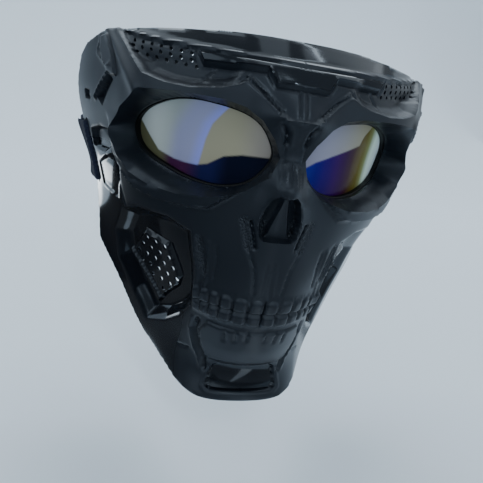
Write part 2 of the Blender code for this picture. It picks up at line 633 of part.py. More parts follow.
def main():
    clear_scene()
    shell = plastic("shell_plastic", (0.020, 0.023, 0.028), 0.38)
    inner = plastic("frame_plastic", (0.016, 0.018, 0.022), 0.45)
    coating = plastic("mirror_lens", (0.70, 0.66, 0.72), 0.08, metallic=0.9)
    webbing = plastic("strap_webbing", (0.010, 0.012, 0.022), 0.85)
    build_shell(shell)
    build_frame(inner)
    build_lens("lens_left", 1, coating)
    build_lens("lens_right", -1, coating)
    build_strap(webbing)


main()
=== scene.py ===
import math

import bpy
import numpy as np
from mathutils import Matrix, Vector
from mathutils.geometry import delaunay_2d_cdt


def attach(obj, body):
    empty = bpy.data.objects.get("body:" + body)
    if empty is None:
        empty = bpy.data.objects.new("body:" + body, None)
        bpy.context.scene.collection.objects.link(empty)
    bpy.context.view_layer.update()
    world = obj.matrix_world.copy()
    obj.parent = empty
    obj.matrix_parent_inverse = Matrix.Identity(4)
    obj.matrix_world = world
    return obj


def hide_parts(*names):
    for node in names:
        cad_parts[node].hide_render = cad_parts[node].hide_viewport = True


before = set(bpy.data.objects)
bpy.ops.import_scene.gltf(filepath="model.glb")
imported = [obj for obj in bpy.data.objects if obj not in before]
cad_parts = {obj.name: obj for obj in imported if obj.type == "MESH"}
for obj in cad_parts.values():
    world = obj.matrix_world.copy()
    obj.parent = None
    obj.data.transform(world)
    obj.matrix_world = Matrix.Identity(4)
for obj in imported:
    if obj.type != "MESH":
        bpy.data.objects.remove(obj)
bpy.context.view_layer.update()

# A rigid full-face skull mask with mirrored goggle lenses and an elastic head strap. The face is one smooth
# skin, lofted through level sections and carved along its normals, as in the solids. A place on it is (u, v):
# u counts along a level section from the centre line, v upwards from the eye line. GIRTH_PARTS of u make the
# half girth at the eye line, and HEIGHT_PARTS of v make FACE_HEIGHT. Tables hold the +X half, and the other
# half is its mirror image.

# Main sizes, in metres
FACE_HEIGHT = 0.2  # chin to the rim of the forehead
HALF_WIDTH = 0.1  # centre line to the rear edge at the cheeks
FACE_DEPTH = 0.1  # rear edge to the lips
WALL = 0.003  # shell thickness
FIT_GAP = 0.0003  # clearance between pieces that seat on each other

# Carving of the shell, in metres
RIDGE_RISE = 0.01  # nose bridge above the skin
BROW_RISE = 0.006  # outer end of the brow above the skin
SCALLOP_DEPTH = 0.003  # hollow of the forehead above the brow
CHEEK_RISE = 0.0042  # cheekbone above the skin
HOLLOW_DEPTH = 0.008  # hollow of the cheek below the skin
SOCKET_DEPTH = 0.009  # outer end of the eye opening below the skin
SOCKET_INNER_DEPTH = 0.0034  # its inner end, beside the nose
EYE_MARGIN = 0.0018  # shell opening beyond the goggle frame's opening
NOSTRIL_DEPTH = 0.006
STRIP_RISE = 0.0012  # raised band across the forehead
PLATE_RISE = 0.0014  # plate of the lower jaw
CHIN_DEPTH = 0.0022  # sunk panel of the chin
GROOVE_DEPTH = 0.0025  # grooves beside the lower jaw
TOOTH_RISE = 0.0018
BITE_DEPTH = 0.0016  # line between the upper and the lower teeth
VENT_RISE = 0.0025  # pierced cheek panel above the floor of the hollow
LIP_RISE = 0.003  # bar along the lower edge of the pierced panel
TEMPLE_RISE = 0.0015  # raised plate of the temple
TEMPLE_SLOT_DEPTH = 0.003
SIDE_STEP_DEPTH = 0.003  # step behind the cheekbone

# Holes, in metres
BROW_HOLE = 0.0019  # width of a forehead hole
VENT_HOLE = 0.0034  # width of a cheek hole
VENT_WALL = 0.0012  # shell thickness at the cheek holes
EYE_EDGE_WALL = 0.0016  # shell thickness at the eye opening

# Goggles, in metres
FRAME_WALL = 0.0018
FRAME_SLOPE = 0.0008  # fall of the frame from the shell to the lens
LENS_WALL = 0.002
LENS_LAP = 0.0025  # lens edge covered by the frame
FRAME_LAP = 0.0045  # frame beyond the shell opening, behind the shell

# Strap, in metres
STRAP_WIDTH = 0.036
STRAP_THICK = 0.0016
STRAP_SLOT_WIDTH = 0.0032
STRAP_SLOT_SPARE = 0.0015  # slot beyond each edge of the strap
STRAP_LEVEL = -0.026  # strap's middle at the slots
STRAP_BACK_LEVEL = -0.01  # strap's middle behind the head
STRAP_BULGE = 0.121  # half width of the loop behind the rear edges
STRAP_REACH = 0.104  # back of the loop behind the origin

GIRTH_PARTS = 153.0
HEIGHT_PARTS = 200.0
LEVEL = FACE_HEIGHT / HEIGHT_PARTS
LEVEL_STEP = 2.0  # parts of v between the measured sections
NORMAL_STEP = 0.6  # half span, in parts, over which the skin's slope is taken
FALL_STEP = 0.8  # half span, in parts, over which the carving's slope is taken

# Widths of the slopes beside carved features, in parts
HOLLOW_SLOPE = 11.0
BROW_SLOPE = 2.5
SCALLOP_SLOPE = 4.0
CHEEK_SLOPE = 2.0
STEP_SLOPE = 2.5
PANEL_SLOPE = 2.0
EDGE_SLOPE = 1.4  # plates, slots and the nose opening
BAND_SLOPE = 0.8  # band across the forehead
GROOVE_REACH = 2.6  # centre to side of a jaw groove
BITE_REACH = 1.1

# Level sections of the skin, bottom to top. Each half section is one cubic curve that leaves the centre line
# square to it: v in parts, then hundredths of FACE_DEPTH for the front, of HALF_WIDTH for the front pull, of
# HALF_WIDTH and FACE_DEPTH for the shoulder, and of HALF_WIDTH and FACE_DEPTH for the rear edge.
SECTION_COLUMNS = ("v", "front", "pull", "shoulder_x", "shoulder_y", "rear_x", "rear_y")
SECTIONS = (
    (-158, 88, 32, 38, 78, 50, 40),
    (-140, 84, 28, 36, 70, 62, 28),
    (-117, 94, 30, 42, 58, 78, 14),
    (-91, 102, 34, 48, 60, 96, 0),
    (-65, 104, 38, 65, 68, 98, 2),
    (-35, 104, 48, 89, 60, 99, 9),
    (-8, 106, 50, 95, 56, 107, 12),
    (12, 107, 52, 98, 56, 110, 18),
    (28, 105, 50, 96, 55, 108, 22),
    (44, 94, 47, 90, 50, 100, 36),
    (60, 80, 44, 84, 50, 96, 44),
)

# Outlines and lines on the skin, as (u, v) in parts
SHELL_EDGE = ((0, 44), (40, 43.6), (75, 42.2), (100, 40.3), (113, 39), (131, 34), (142, 27.5), (146, 16),
              (150, 3), (149.5, -9), (148, -40), (147, -65), (145, -87), (116, -117), (88, -146), (69, -152),
              (48, -156), (27, -157.5), (0, -157.5))
EYE_RIM = ((75.5, 13.5), (55, 14.2), (34, 13.6), (24, 11.5), (16, 7), (9.5, -0.5), (6, -8), (9, -17.5),
           (19, -26), (34, -30.5), (52, -32), (68, -31), (83, -27), (94, -18.5), (100, -6.5), (91.5, 4))
EYE_OPENING = ((10, -9), (13, -2), (18.5, 4), (27, 7.8), (40, 10), (53, 10.8), (65, 9.5), (77, 5.5), (88, 0),
               (95, -6.5), (93, -13.5), (83, -18), (69, -21.3), (55, -24.3), (41, -25.7), (30, -25),
               (20.5, -22), (14, -16.5))
BROW_TOP = ((-4, 3), (7, 10), (23.5, 23.5), (36, 19.5), (50, 17.8), (62, 18.5), (74, 21), (84, 29), (95, 39),
            (100, 60))
CHEEK_EDGE = ((6, -14), (14, -22), (24, -28.5), (35.5, -37.5), (50, -38.5), (66, -38), (80, -36), (90, -30),
              (98.5, -19.5), (103, -7), (110, 2), (118, 30))
HOLLOW = ((43, -50), (60, -45), (85, -46), (104, -52), (122, -72), (122, -94), (104, -116), (84, -134),
          (64, -124), (51, -113), (42, -100), (40.5, -75))
VENT_PANEL = ((62, -97), (59.5, -89), (67, -69), (91, -66.5), (108, -82), (110.5, -87), (77.5, -113.5),
              (72, -107))
VENT_LIP = ((112.5, -85.5), (114.5, -89.5), (80.5, -119), (75, -110.5), (77.5, -113.5))
NOSTRIL = ((0.9, -26.5), (3.4, -24), (6.5, -27), (9, -33), (10.2, -40), (9.4, -46), (7.2, -48.5), (5, -45.5),
           (3.2, -38), (1.6, -31))
FOREHEAD_STRIP = ((-9, 31.5), (49.5, 33), (46.5, 28.5), (16.5, 28.5), (12.5, 22.7), (-9, 22.5))
JAW_PLATE = ((-9, -104), (30, -103), (34.5, -113), (30.5, -124), (24, -131), (-9, -131))
CHIN_PANEL = ((-9, -133), (16, -133.2), (20, -135.5), (23.8, -150), (20.5, -152), (-9, -152))
JAW_GROOVE = ((37, -106), (38.5, -114), (33.5, -125), (27, -132), (24.5, -140))
TEMPLE_PLATE = ((103, 37.5), (98, 26), (94.5, 17), (101, 17.5), (104.5, 20), (110, 24), (113.5, 30),
                (112, 37))
TEMPLE_SLOT = ((97.5, 16), (103.5, 18.5), (117, 6.5), (111, 2.2))
SIDE_STEP = ((100, -9), (117, -8), (132, -11), (133, -22), (113, -23), (103, -18))

# Rise of the centre line (share of RIDGE_RISE) and its half width, by level
RIDGE_COLUMNS = ("v", "rise", "half_width")
RIDGE = ((-100, 0.0, 24), (-91, 0.0, 24), (-84, 0.12, 23), (-70, 0.3, 20), (-49, 0.42, 15), (-36, 0.75, 12),
         (-24, 1.05, 9), (-18, 0.95, 8.5), (-11, 0.42, 8), (-4, 0.25, 9), (4, 0.45, 11), (10, 0.75, 12),
         (20, 0.26, 13), (30, 0.0, 14), (60, 0.0, 14))
# Share of BROW_RISE along the brow
BROW_COLUMNS = ("u", "rise")
BROW = ((0, 0.2), (10, 0.45), (24, 0.35), (50, 0.75), (75, 1.0), (88, 0.6), (102, 0.2), (120, 0.0),
        (200, 0.0))
# Raised (+) and sunk (-) areas: outline, rise in metres and width of the slope in parts
AREAS = (
    (HOLLOW, -HOLLOW_DEPTH, HOLLOW_SLOPE),
    (VENT_PANEL, VENT_RISE, PANEL_SLOPE),
    (VENT_LIP, LIP_RISE, EDGE_SLOPE),
    (NOSTRIL, -NOSTRIL_DEPTH, EDGE_SLOPE),
    (FOREHEAD_STRIP, STRIP_RISE, BAND_SLOPE),
    (JAW_PLATE, PLATE_RISE, EDGE_SLOPE),
    (CHIN_PANEL, -CHIN_DEPTH, EDGE_SLOPE),
    (TEMPLE_PLATE, TEMPLE_RISE, EDGE_SLOPE),
    (TEMPLE_SLOT, -TEMPLE_SLOT_DEPTH, EDGE_SLOPE),
    (SIDE_STEP, -SIDE_STEP_DEPTH, STEP_SLOPE),
)
TOOTH_GAPS = (0, 8, 16.6, 24, 30.5, 36.5, 42)
TOOTH_LEVELS = (-79, -91, -101.5)  # root of the upper teeth, bite, root of the lower teeth

# Patterns of holes: first hole, step along a row and step to the next one in parts, holes, rows, and shift of
# every other row in holes. Cheek holes are left out where they don't lie on the panel.
BROW_HOLES = ((52.8, 31.9), (5.6, 0.6), (-1.0, -2.7), 7, 3, 0.3)
VENT_HOLES = ((63.5, -92), (6.5, -6.4), (2.5, 6.6), 5, 7, 0.0)
VENT_MARGIN = 2.2  # centre of a hole to the panel's edge, in parts
STRAP_SLOT_PLACE = 139.0  # middle of the strap slot, in parts of u

# Visible mesh, in metres, shares of a step or parts
SKIN_STEP = 0.00125  # triangles of the shell
DETAIL_STEP = 0.00085  # and of its fine areas
FRAME_STEP = 0.0016
LENS_STEP = 0.0007
EDGE_ROUND = 0.0011  # radius of the shell's rounded free edges
FRAME_TRIM = 0.0012  # frame opening beyond the solid's
FRAME_BEVEL = 0.0009  # fall of the frame's lip beyond the solid's
LINE_GAP = 0.55  # least distance from a free place to a fixed one, in steps
CENTRE_GAP = 0.3  # and to the centre line
EYE_SLACK = 0.45  # band beside the eye opening at its full depth, in parts
STEEP_LIMIT = 1.8  # most that a steep face thickens the wall
HOLE_SIDES = (14, 16)  # of a forehead hole and a cheek hole
# Fine areas of the shell, as outlines in parts: teeth, nose, forehead strip and brow
FINE_AREAS = (
    ((0.1, -78), (44, -78), (44, -104.5), (0.1, -104.5)),
    ((0.1, -3), (19, -3), (19, -56), (0.1, -56)),
    ((0.1, 34), (52, 34.8), (52, 26.5), (0.1, 7)),
    ((24, 26), (48.5, 25), (52.5, 26), (60, 24), (74, 26), (91, 42), (98, 39), (86, 25), (76, 17.5),
     (62, 15), (50, 14.5), (36, 16), (24, 20)),
)

# Fine grooves on the skin: line in parts, depth in metres and half width in parts
GROOVES = (
    (((0, 31.5), (25, 31.8), (50, 33.2), (70, 35), (92, 38.2)), 0.0006, 0.8),
    (((-2, 21.4), (12.8, 21.4), (16.8, 27.2), (47.5, 27.2), (50.5, 33)), 0.0007, 0.8),
    (((24, 22.5), (16, 17.6), (8, 11)), 0.0013, 1.0),
    (((41.5, 26), (45, 22.5), (48, 19), (40, 18.2), (30, 20.6), (24.5, 24.6)), 0.0007, 0.7),
    (((1.5, 20.5), (1.5, 10)), 0.0007, 0.5),
    (((7.4, 6.5), (5.2, 4), (4.6, -1)), 0.0022, 1.1),
    (((4.6, -3), (4.8, -20)), 0.0006, 0.5),
    (((14, -40), (12, -46), (10.2, -53)), 0.002, 0.75),
    (((17.5, -40), (13.4, -53)), 0.0006, 1.6),
    (((13.8, -53), (9.4, -63), (8, -70), (7.4, -78)), 0.0007, 0.6),
    (((1.5, -60), (2.4, -78)), 0.0006, 0.5),
    (((39.6, -54.5), (37.4, -62), (34.8, -72.5)), 0.0012, 1.9),
    (((48, -65.5), (43.4, -71.5)), 0.0006, 0.7),
    (((47, -133), (39, -131)), 0.001, 0.8),
    (((29.5, -56), (28.4, -64), (29.2, -76)), 0.0007, 0.7),
    (((98.5, -20.5), (92, -26), (84, -29.8), (69, -31.3), (54, -30.2)), 0.0005, 0.7),
    (((118, -10), (104, -17), (99, -27), (98, -40), (96, -52)), 0.0006, 0.9),
    (((5.2, -104.5), (5.4, -109.5)), 0.0009, 0.8),
    (((11.4, -105), (11, -111)), 0.0009, 0.8),
    (((17.6, -105.5), (17, -112)), 0.0009, 0.8),
)
# Fine raised ribs, in the same columns
RIBS = (
    (((0, 33.2), (25, 33.4), (50, 34.8), (70, 36.4), (92, 39.4)), 0.0007, 0.7),
    (((-2, 22.6), (12, 22.6), (15.6, 28.6), (46.5, 28.6)), 0.0008, 0.7),
    (((25, 24.5), (17, 19.2), (8.5, 12.4), (6.5, 8.6), (-6.5, 8.6)), 0.0012, 0.8),
    (((119, 6), (111, 13), (104, 19)), 0.0014, 0.9),
    (((34, -55), (33, -65), (34, -76), (36, -90)), 0.0007, 1.0),
    (((42, -61), (39.5, -71), (40, -81), (40, -92)), 0.0008, 1.1),
    (((46.5, -60), (44.5, -72), (45, -86)), 0.0006, 0.9),
    (((41.5, -106), (42, -115), (36.5, -127), (30, -134), (27.5, -141)), 0.0007, 0.8),
    (((-2, -131.2), (22, -131.2), (28, -126)), 0.0006, 0.7),
    (((-2, -153.4), (21.5, -153.4), (25.4, -151), (22.4, -137)), 0.0006, 0.8),
    (((78.8, 13.5), (91.8, 25.5), (102.8, 37), (106, 42)), 0.0014, 3.0),
    (((100, 22.5), (104.5, 21), (116.5, 28), (113.5, 35)), 0.0008, 0.8),
)
# The same inside the eye sockets: a rib, and a groove with its size below zero
SOCKET_LINES = (
    (((98.5, -7.5), (97, -11), (91.5, -19.5), (81, -25), (67, -28.8), (52, -30.4), (38, -30.2)), 0.0011, 1.3),
    (((94.8, -11), (89, -17.8), (77, -22.2), (64, -25.8), (50, -28)), -0.0008, 0.8),
)
# Small sunk notches: outline in parts and depth in metres
NOTCHES = (
    (((125.5, 4), (126.5, 9.5), (132, 10), (134, 4.5)), 0.0018),
    (((96, -22), (112, -24), (127, -30), (127, -44), (104, -48), (98, -36)), 0.0008),
    (((50, 27.4), (52, 34), (60, 34.8), (90, 37.6), (86, 29), (84, 26)), 0.0007),
)
NOTCH_SLOPE = 1.0
# Patches of coarse moulded grain: middle line and half width, in parts
GRAIN_PATCHES = (
    (((17.5, -40), (13.4, -53)), 2.0),
    (((39.6, -54.5), (34.8, -72.5)), 2.4),
    (((37.5, -108), (34.5, -117), (28, -128)), 1.8),
    (((8, -40), (7, -46)), 1.6),
)
NOSE_RIBS = (0.0, 1.6, 3.2)  # grooves down the bridge of the nose, in parts of u
NOSE_RIB_LEVELS = (-8.5, -20.5)  # their top and bottom
NOSE_RIB_DEPTH = 0.0006
NOSE_RIB_REACH = 0.45
TOOTH_ARC_DEPTH = 0.0005  # outlines of the teeth
TOOTH_ARC_REACH = 0.55
# Space round the nose openings: outline, and how far it and the openings' floors lie below the solid's
NOSE_CAVITY = ((-2, -25), (3.6, -24.2), (6.8, -27), (9.3, -33), (10.6, -40), (9.8, -46.5), (7.2, -49),
               (-2, -49))
NOSE_SINK = 0.0045
NOSTRIL_SINK = 0.001

# Strap: its way off the shell and round the head, its mesh and its weave
STRAP_LEAVE = 0.035  # straight run off the shell
STRAP_WIDEN = 0.025  # from there back to the widest place
STRAP_SHOULDER = 0.72  # half width of the bend behind the head, as a share of STRAP_BULGE
STRAP_STATIONS = 25
STRAP_ROWS = 25
STRAP_SPLITS = 5  # visible stations from each station to the next
STRAP_EDGE_POWER = 16  # squareness of the rounded edges
WEAVE_PITCH = 0.00045

# Camera: place in metres, its heading from +Y towards +X, its tilt upwards and its roll, in degrees
CAMERA_PLACE = (-0.0613, -0.295, 0.0097)
CAMERA_HEADING = 12.96
CAMERA_TILT = -17.08
CAMERA_ROLL = 8.33
CAMERA_LENS = 31.3  # focal length for a sensor CAMERA_SENSOR wide, in millimetres
CAMERA_SENSOR = 36.0
CAMERA_NEAR = 0.01

# Stage: a floor that bends up into a backdrop, in metres
STAGE_LEVEL = -0.205
STAGE_SIDE = 4.0
STAGE_FRONT = -3.0
STAGE_BEND = 0.9  # where the floor starts to rise
STAGE_RADIUS = 0.8
STAGE_TOP = 4.0

# Colours
SATIN_BLACK = (0.006, 0.008, 0.0125)
# Glossy black, darker than satin: in the cheek hollow partly painted shade
GLOSS_AND_SHADE_BLACK = (0.0022, 0.003, 0.005)
STRAP_DARK = (0.006, 0.009, 0.022)
STRAP_LIGHT = (0.014, 0.02, 0.045)
ROOM_COLOUR = (0.8, 0.9, 1.0)
ROOM_STRENGTH = 0.4
LIGHT_COLOUR = (0.88, 0.95, 1.0)

# Surfaces: the shader's sockets that are the same all over
SHELL_LOOK = {"Specular IOR Level": 0.5, "Specular Tint": (0.74, 0.87, 1.0, 1)}
FRAME_LOOK = {"Base Color": (0.002, 0.003, 0.004, 1), "Roughness": 0.5, "Specular IOR Level": 0.2}
LENS_LOOK = {"Metallic": 0.06, "Roughness": 0.24, "Specular IOR Level": 0.04, "Coat Weight": 0.05,
             "Coat Roughness": 0.05}
STRAP_LOOK = {"Roughness": 0.8, "Specular IOR Level": 0.2}
STAGE_LOOK = {"Base Color": (0.76, 0.84, 0.91, 1), "Roughness": 0.9, "Specular IOR Level": 0.1}
SATIN_ROUGHNESS = 0.4
GLOSS_ROUGHNESS = 0.1
# Moulded grain: scale of the noise, height in metres, and strength off and on the patches
GRAIN_SCALE = 1000
GRAIN_DEPTH = 0.0012
GRAIN_STRENGTH = (0.006, 0.9)
WEAVE_DEPTH = 0.0003
WEAVE_STRENGTH = 0.6
# The weave's colour is darker between the threads: painted shade in its hollows
WEAVE_SHADES = (0.3, 0.7)  # least and most of STRAP_LIGHT between the threads and on them
CARD_LIFT = 0.004  # cards above the floor
# Cards on the floor, seen only in reflections: dark ones paint reflected shade, glowing ones paint reflected
# highlights. Low corner, high corner, shade and glow
CARDS = (
    ((-0.1, -0.5), (0.015, -0.12), 0.32, 0),
    ((0.015, -0.5), (0.035, -0.12), 1.0, 0.8),
    ((0.035, -0.5), (0.6, -0.12), 0.28, 0),
    ((-0.28, -2.4), (0.6, -0.5), 0.12, 0),
    ((-1.6, -2.4), (-0.28, 0.28), 0.015, 0),
    ((-0.48, 0.28), (-0.34, 0.58), 1.0, 4),
    ((-0.28, -0.5), (-0.1, 0.04), 0.11, 0),
    ((-0.28, 0.04), (0.14, 0.7), 0.015, 0),
)
# Lights: name, place, target, width, length, power
LIGHTS = (
    ("sky_back", (0, 1.6, 1.9), (0, 0.9, -0.2), 3.2, 1.8, 60),
    ("sky_left", (-1.25, 0.3, 1.9), (-0.9, 0.2, 0), 0.6, 2, 6),
    ("sky_middle", (0.1, 0.3, 1.9), (0.1, 0.2, 0), 0.5, 2, 3),
    ("sky_strip", (0.57, -0.1, 1.9), (0.4, 0, 0), 0.035, 0.9, 1.4),
    ("sky_right", (1.35, 0.5, 1.9), (0.9, 0.3, 0), 1.2, 2, 6.5),
    ("front", (0.3, -2.3, 0.5), (0, 0, 0), 3, 1.2, 10),
    ("left_front", (-1.8, -1.2, 0.5), (0, 0, 0), 1.2, 1.2, 5.5),
    ("right_front", (1.8, -1.4, 0.5), (0, 0, 0), 1.2, 1.2, 2),
    ("right_back", (1.6, 1, 0.4), (0, 0, 0), 1, 1.2, 2),
    ("window", (-1.5, 0.25, 1), (0, 0, 0), 0.7, 1, 2.5),
    ("side", (1.5, 0.15, 0.5), (0, 0, -0.03), 0.5, 1.2, 0.8),
    ("streak", (0.1, -1.1, 0.95), (0, -0.1, 0.03), 0.03, 0.45, 3),
)

# Lens colours: the mirror lenses' own hues with a painted reflection of the room, a pale sky above dark
# waves.
# Colours, then the edges of the blue band as (v, u) and of the dark waves as (u, v)
PALE_GREY = (0.3, 0.33, 0.32)
# Paler grey towards the outer end: painted light where the socket shades the lens
OUTER_GREY = (0.5, 0.54, 0.52)
LILAC = (0.27, 0.28, 0.42)
LILAC_GREY = (0.27, 0.27, 0.35)
PALE_BLUE = (0.25, 0.28, 0.66)
BEIGE = (0.3, 0.28, 0.2)
ROSE_BEIGE = (0.31, 0.28, 0.25)
NAVY = (0.004, 0.006, 0.018)
DEEP_BLUE = (0.01, 0.012, 0.06)
DEEP_PURPLE = (0.05, 0.012, 0.05)
OLIVE = (0.1, 0.1, 0.055)
BAND_OUTER = ((-20, 66), (-7, 61.8), (6.5, 52.2), (12, 48))
BAND_INNER = ((-20, 49), (-15, 48), (-7, 46.2), (1, 42.8), (8.5, 36.2), (12, 33))
WAVE = ((0, -10), (9.8, -10.5), (23.8, -11), (34.2, -13), (43.2, -18), (50, -19.6), (58, -19.6), (66, -19),
        (79, -16.5), (88, -10), (97, -3))
LEFT_WAVE = ((0, -15), (12, -13.5), (18.8, -10), (30.2, -6.5), (46, -2.5), (54.2, -0.5), (57, 5), (63, 10),
             (75, 25))
WAVE_BLUR = 0.9  # softness of the waves' lines, in parts
# Colours below the wave of the left lens, and their places in parts of u; the palest, at the outer end, are
# painted light where the socket shades the lens
BAND_PLACES = (8, 20, 28, 36, 43, 50, 56, 62, 68, 76, 88)
BAND_COLOURS = ((0.012, 0.03, 0.3), (0.01, 0.002, 0.16), (0.016, 0.001, 0.12), (0.03, 0.002, 0.09),
                (0.03, 0.004, 0.05), (0.04, 0.012, 0.02), (0.08, 0.055, 0.012), (0.12, 0.1, 0.02),
                (0.22, 0.24, 0.1), (0.72, 0.9, 0.78), (0.85, 0.98, 0.98))


def smooth_rows(rows, columns, at):
    """Smooth curve through a table's rows: the first column is the place, the others come back by name."""
    table = np.array(rows, float)
    place, value = table[:, 0], table[:, 1:]
    at = np.clip(np.asarray(at, float), place[0], place[-1])
    low = np.clip(np.searchsorted(place, at) - 1, 0, len(place) - 2)
    before, after = np.maximum(low - 1, 0), np.minimum(low + 2, len(place) - 1)
    step = (place[low + 1] - place[low])[..., None]
    t = (at - place[low])[..., None] / step
    start = (value[low + 1] - value[before]) / (place[low + 1] - place[before])[..., None] * step
    end = (value[after] - value[low]) / (place[after] - place[low])[..., None] * step
    found = (value[low] * (2 * t**3 - 3 * t**2 + 1) + start * (t**3 - 2 * t**2 + t)
             + value[low + 1] * (3 * t**2 - 2 * t**3) + end * (t**3 - t**2))
    return {name: found[..., index] for index, name in enumerate(columns[1:])}


def ramp(value):
    """0 below 0, 1 above 1 and a smooth rise between."""
    t = np.clip(value, 0.0, 1.0)
    return t * t * (3 - 2 * t)


def section(share, v):
    """Point of the skin at a share (0 to 1) of the level section's curve, for the +X half."""
    row = smooth_rows(SECTIONS, SECTION_COLUMNS, v)
    t = np.abs(share)
    near, middle, far = 3 * t * (1 - t)**2, 3 * t**2 * (1 - t), t**3
    x = HALF_WIDTH * (near * row["pull"] + middle * row["shoulder_x"] + far * row["rear_x"]) / 100
    front = ((1 - t)**3 + near) * row["front"]
    y = FACE_DEPTH * (front + middle * row["shoulder_y"] + far * row["rear_y"]) / 100
    return np.stack([np.sign(share) * x, -y, LEVEL * np.asarray(v, float) + 0 * x], -1)


class Skin:
    """The smooth skin, with its sections measured once so that u follows their length."""

    def __init__(self):
        self.levels = np.arange(SECTIONS[0][0] - LEVEL_STEP, SECTIONS[-1][0] + LEVEL_STEP, LEVEL_STEP)
        self.shares = np.linspace(0, 1.2, 121)
        share, level = np.meshgrid(self.shares, self.levels)
        steps = np.linalg.norm(np.diff(section(share, level)[..., :2], axis=1), axis=-1)
        lengths = np.concatenate([np.zeros((len(self.levels), 1)), np.cumsum(steps, axis=1)], axis=1)
        eye_row = int(np.argmin(np.abs(self.levels)))
        self.part = np.interp(1.0, self.shares, lengths[eye_row]) / GIRTH_PARTS
        marks = np.arange(0, 190) * self.part
        self.table = np.array([np.interp(marks, row, self.shares) for row in lengths])

    def share(self, u, v):
        """Share of the section's curve that lies at u."""
        across = np.clip(np.abs(u), 0, self.table.shape[1] - 1.001)
        up = np.clip((v - self.levels[0]) / LEVEL_STEP, 0, len(self.levels) - 1.001)
        i, j = up.astype(int), across.astype(int)
        fi, fj = up - i, across - j
        low = self.table[i, j] * (1 - fj) + self.table[i, j + 1] * fj
        high = self.table[i + 1, j] * (1 - fj) + self.table[i + 1, j + 1] * fj
        return np.copysign(low * (1 - fi) + high * fi, u)

    def point(self, u, v):
        u, v = np.broadcast_arrays(np.asarray(u, float), np.asarray(v, float))
        return section(self.share(u, v), v)

    def normal(self, u, v):
        """Outward normal of the skin."""
        u, v = np.asarray(u, float), np.asarray(v, float)
        along = self.point(u + NORMAL_STEP, v) - self.point(u - NORMAL_STEP, v)
        upward = self.point(u, v + NORMAL_STEP) - self.point(u, v - NORMAL_STEP)
        normal = np.cross(along, upward)
        return normal / np.linalg.norm(normal, axis=-1, keepdims=True)

    def lifted(self, u, v, height):
        """Point at a height, in metres, above the skin."""
        return self.point(u, v) + self.normal(u, v) * np.asarray(height, float)[..., None]


SKIN = Skin()


def line_distance(u, v, points, closed=False):
    """Distance, in parts, from each place to a line of points."""
    points = np.array(points, float)
    place = np.stack([u, v], -1)
    best = np.full(np.shape(u), 1e9)
    for start, end in zip(points if closed else points[:-1], np.roll(points, -1, axis=0)):
        run = end - start
        t = np.clip(((place - start) @ run) / (run @ run), 0, 1)
        best = np.minimum(best, np.linalg.norm(place - start - t[..., None] * run, axis=-1))
    return best


def inside(u, v, outline):
    """Whether each place lies inside an outline."""
    points = np.array(outline, float)
    result = np.zeros(np.shape(u), bool)
    for (u0, v0), (u1, v1) in zip(points, np.roll(points, -1, axis=0)):
        if v0 == v1:
            continue
        crosses = ((v0 > v) != (v1 > v)) & (u < (u1 - u0) * (v - v0) / (v1 - v0) + u0)
        result ^= crosses
    return result


def depth_inside(u, v, outline):
    """Distance to an outline, in parts: positive inside it, negative outside."""
    distance = line_distance(u, v, outline, closed=True)
    return np.where(inside(u, v, outline), distance, -distance)


def curve_between(before, start, end, after, t):
    """Point of the smooth curve through four points, at a share of the way from the second to the third."""
    bend = ((2 * before - 5 * start + 4 * end - after) * t**2
            + (3 * start - before - 3 * end + after) * t**3)
    return (2 * start + (end - before) * t + bend) / 2


def smooth_loop(points, count):
    """Smooth closed line through the points, with a count of places from each point to the next."""
    points = np.array(points, float)
    before, after, beyond = np.roll(points, 1, 0), np.roll(points, -1, 0), np.roll(points, -2, 0)
    t = (np.arange(count) / count)[None, :, None]
    near = (item[:, None, :] for item in (before, points, after, beyond))
    return curve_between(*near, t).reshape(-1, 2)


def eye_line(grow=0.0, count=2):
    """Outline of the goggle frame's opening, grown on all sides by a length in metres."""
    line = smooth_loop(EYE_OPENING, count)
    run = np.roll(line, -1, 0) - np.roll(line, 1, 0)
    out = np.stack([-run[:, 1], run[:, 0]], -1) / np.linalg.norm(run, axis=-1, keepdims=True)
    return [tuple(place) for place in line + out * grow / LEVEL]


def beside(line, shift):
    """A line moved sideways, to its left, by a number of parts."""
    line = np.array(line, float)
    run = np.gradient(line, axis=0)
    run /= np.linalg.norm(run, axis=-1, keepdims=True)
    return [tuple(place) for place in line + np.stack([-run[:, 1], run[:, 0]], -1) * shift]


def above(line):
    """Outline of everything above a line that runs outwards."""
    return list(line) + [(line[-1][0], 300), (line[0][0], 300)]


def raised(u, v, outline, rise, slope):
    """A plateau with sloping sides: rise in metres, slope width in parts."""
    return rise * ramp(depth_inside(u, v, outline) / slope)


def brow_relief(u, v):
    rise = BROW_RISE * smooth_rows(BROW, BROW_COLUMNS, u)["rise"]
    over = depth_inside(u, v, above(BROW_TOP))
    below = ramp((1.0 - over) / BROW_SLOPE) * ramp((v + 18) / 20)
    dip = ramp(over / SCALLOP_SLOPE) * ramp((34 - v) / 9) * ramp((u - 26) / 8) * ramp((90 - u) / 12)
    return rise * below - SCALLOP_DEPTH * dip


def cheek_relief(u, v):
    band = ramp((depth_inside(u, v, above(CHEEK_EDGE)) + 0.5) / CHEEK_SLOPE)
    reach = ramp((u - 12) / 14) * ramp((112 - u) / 16) * ramp((2 - v) / 12)
    return CHEEK_RISE * band * reach


def tooth_at(u):
    """Edges of the tooth at each place, in parts of u."""
    gaps = np.array(TOOTH_GAPS, float)
    low = np.clip(np.searchsorted(gaps, u, side="right") - 1, 0, len(gaps) - 2)
    return gaps[low], gaps[low + 1]


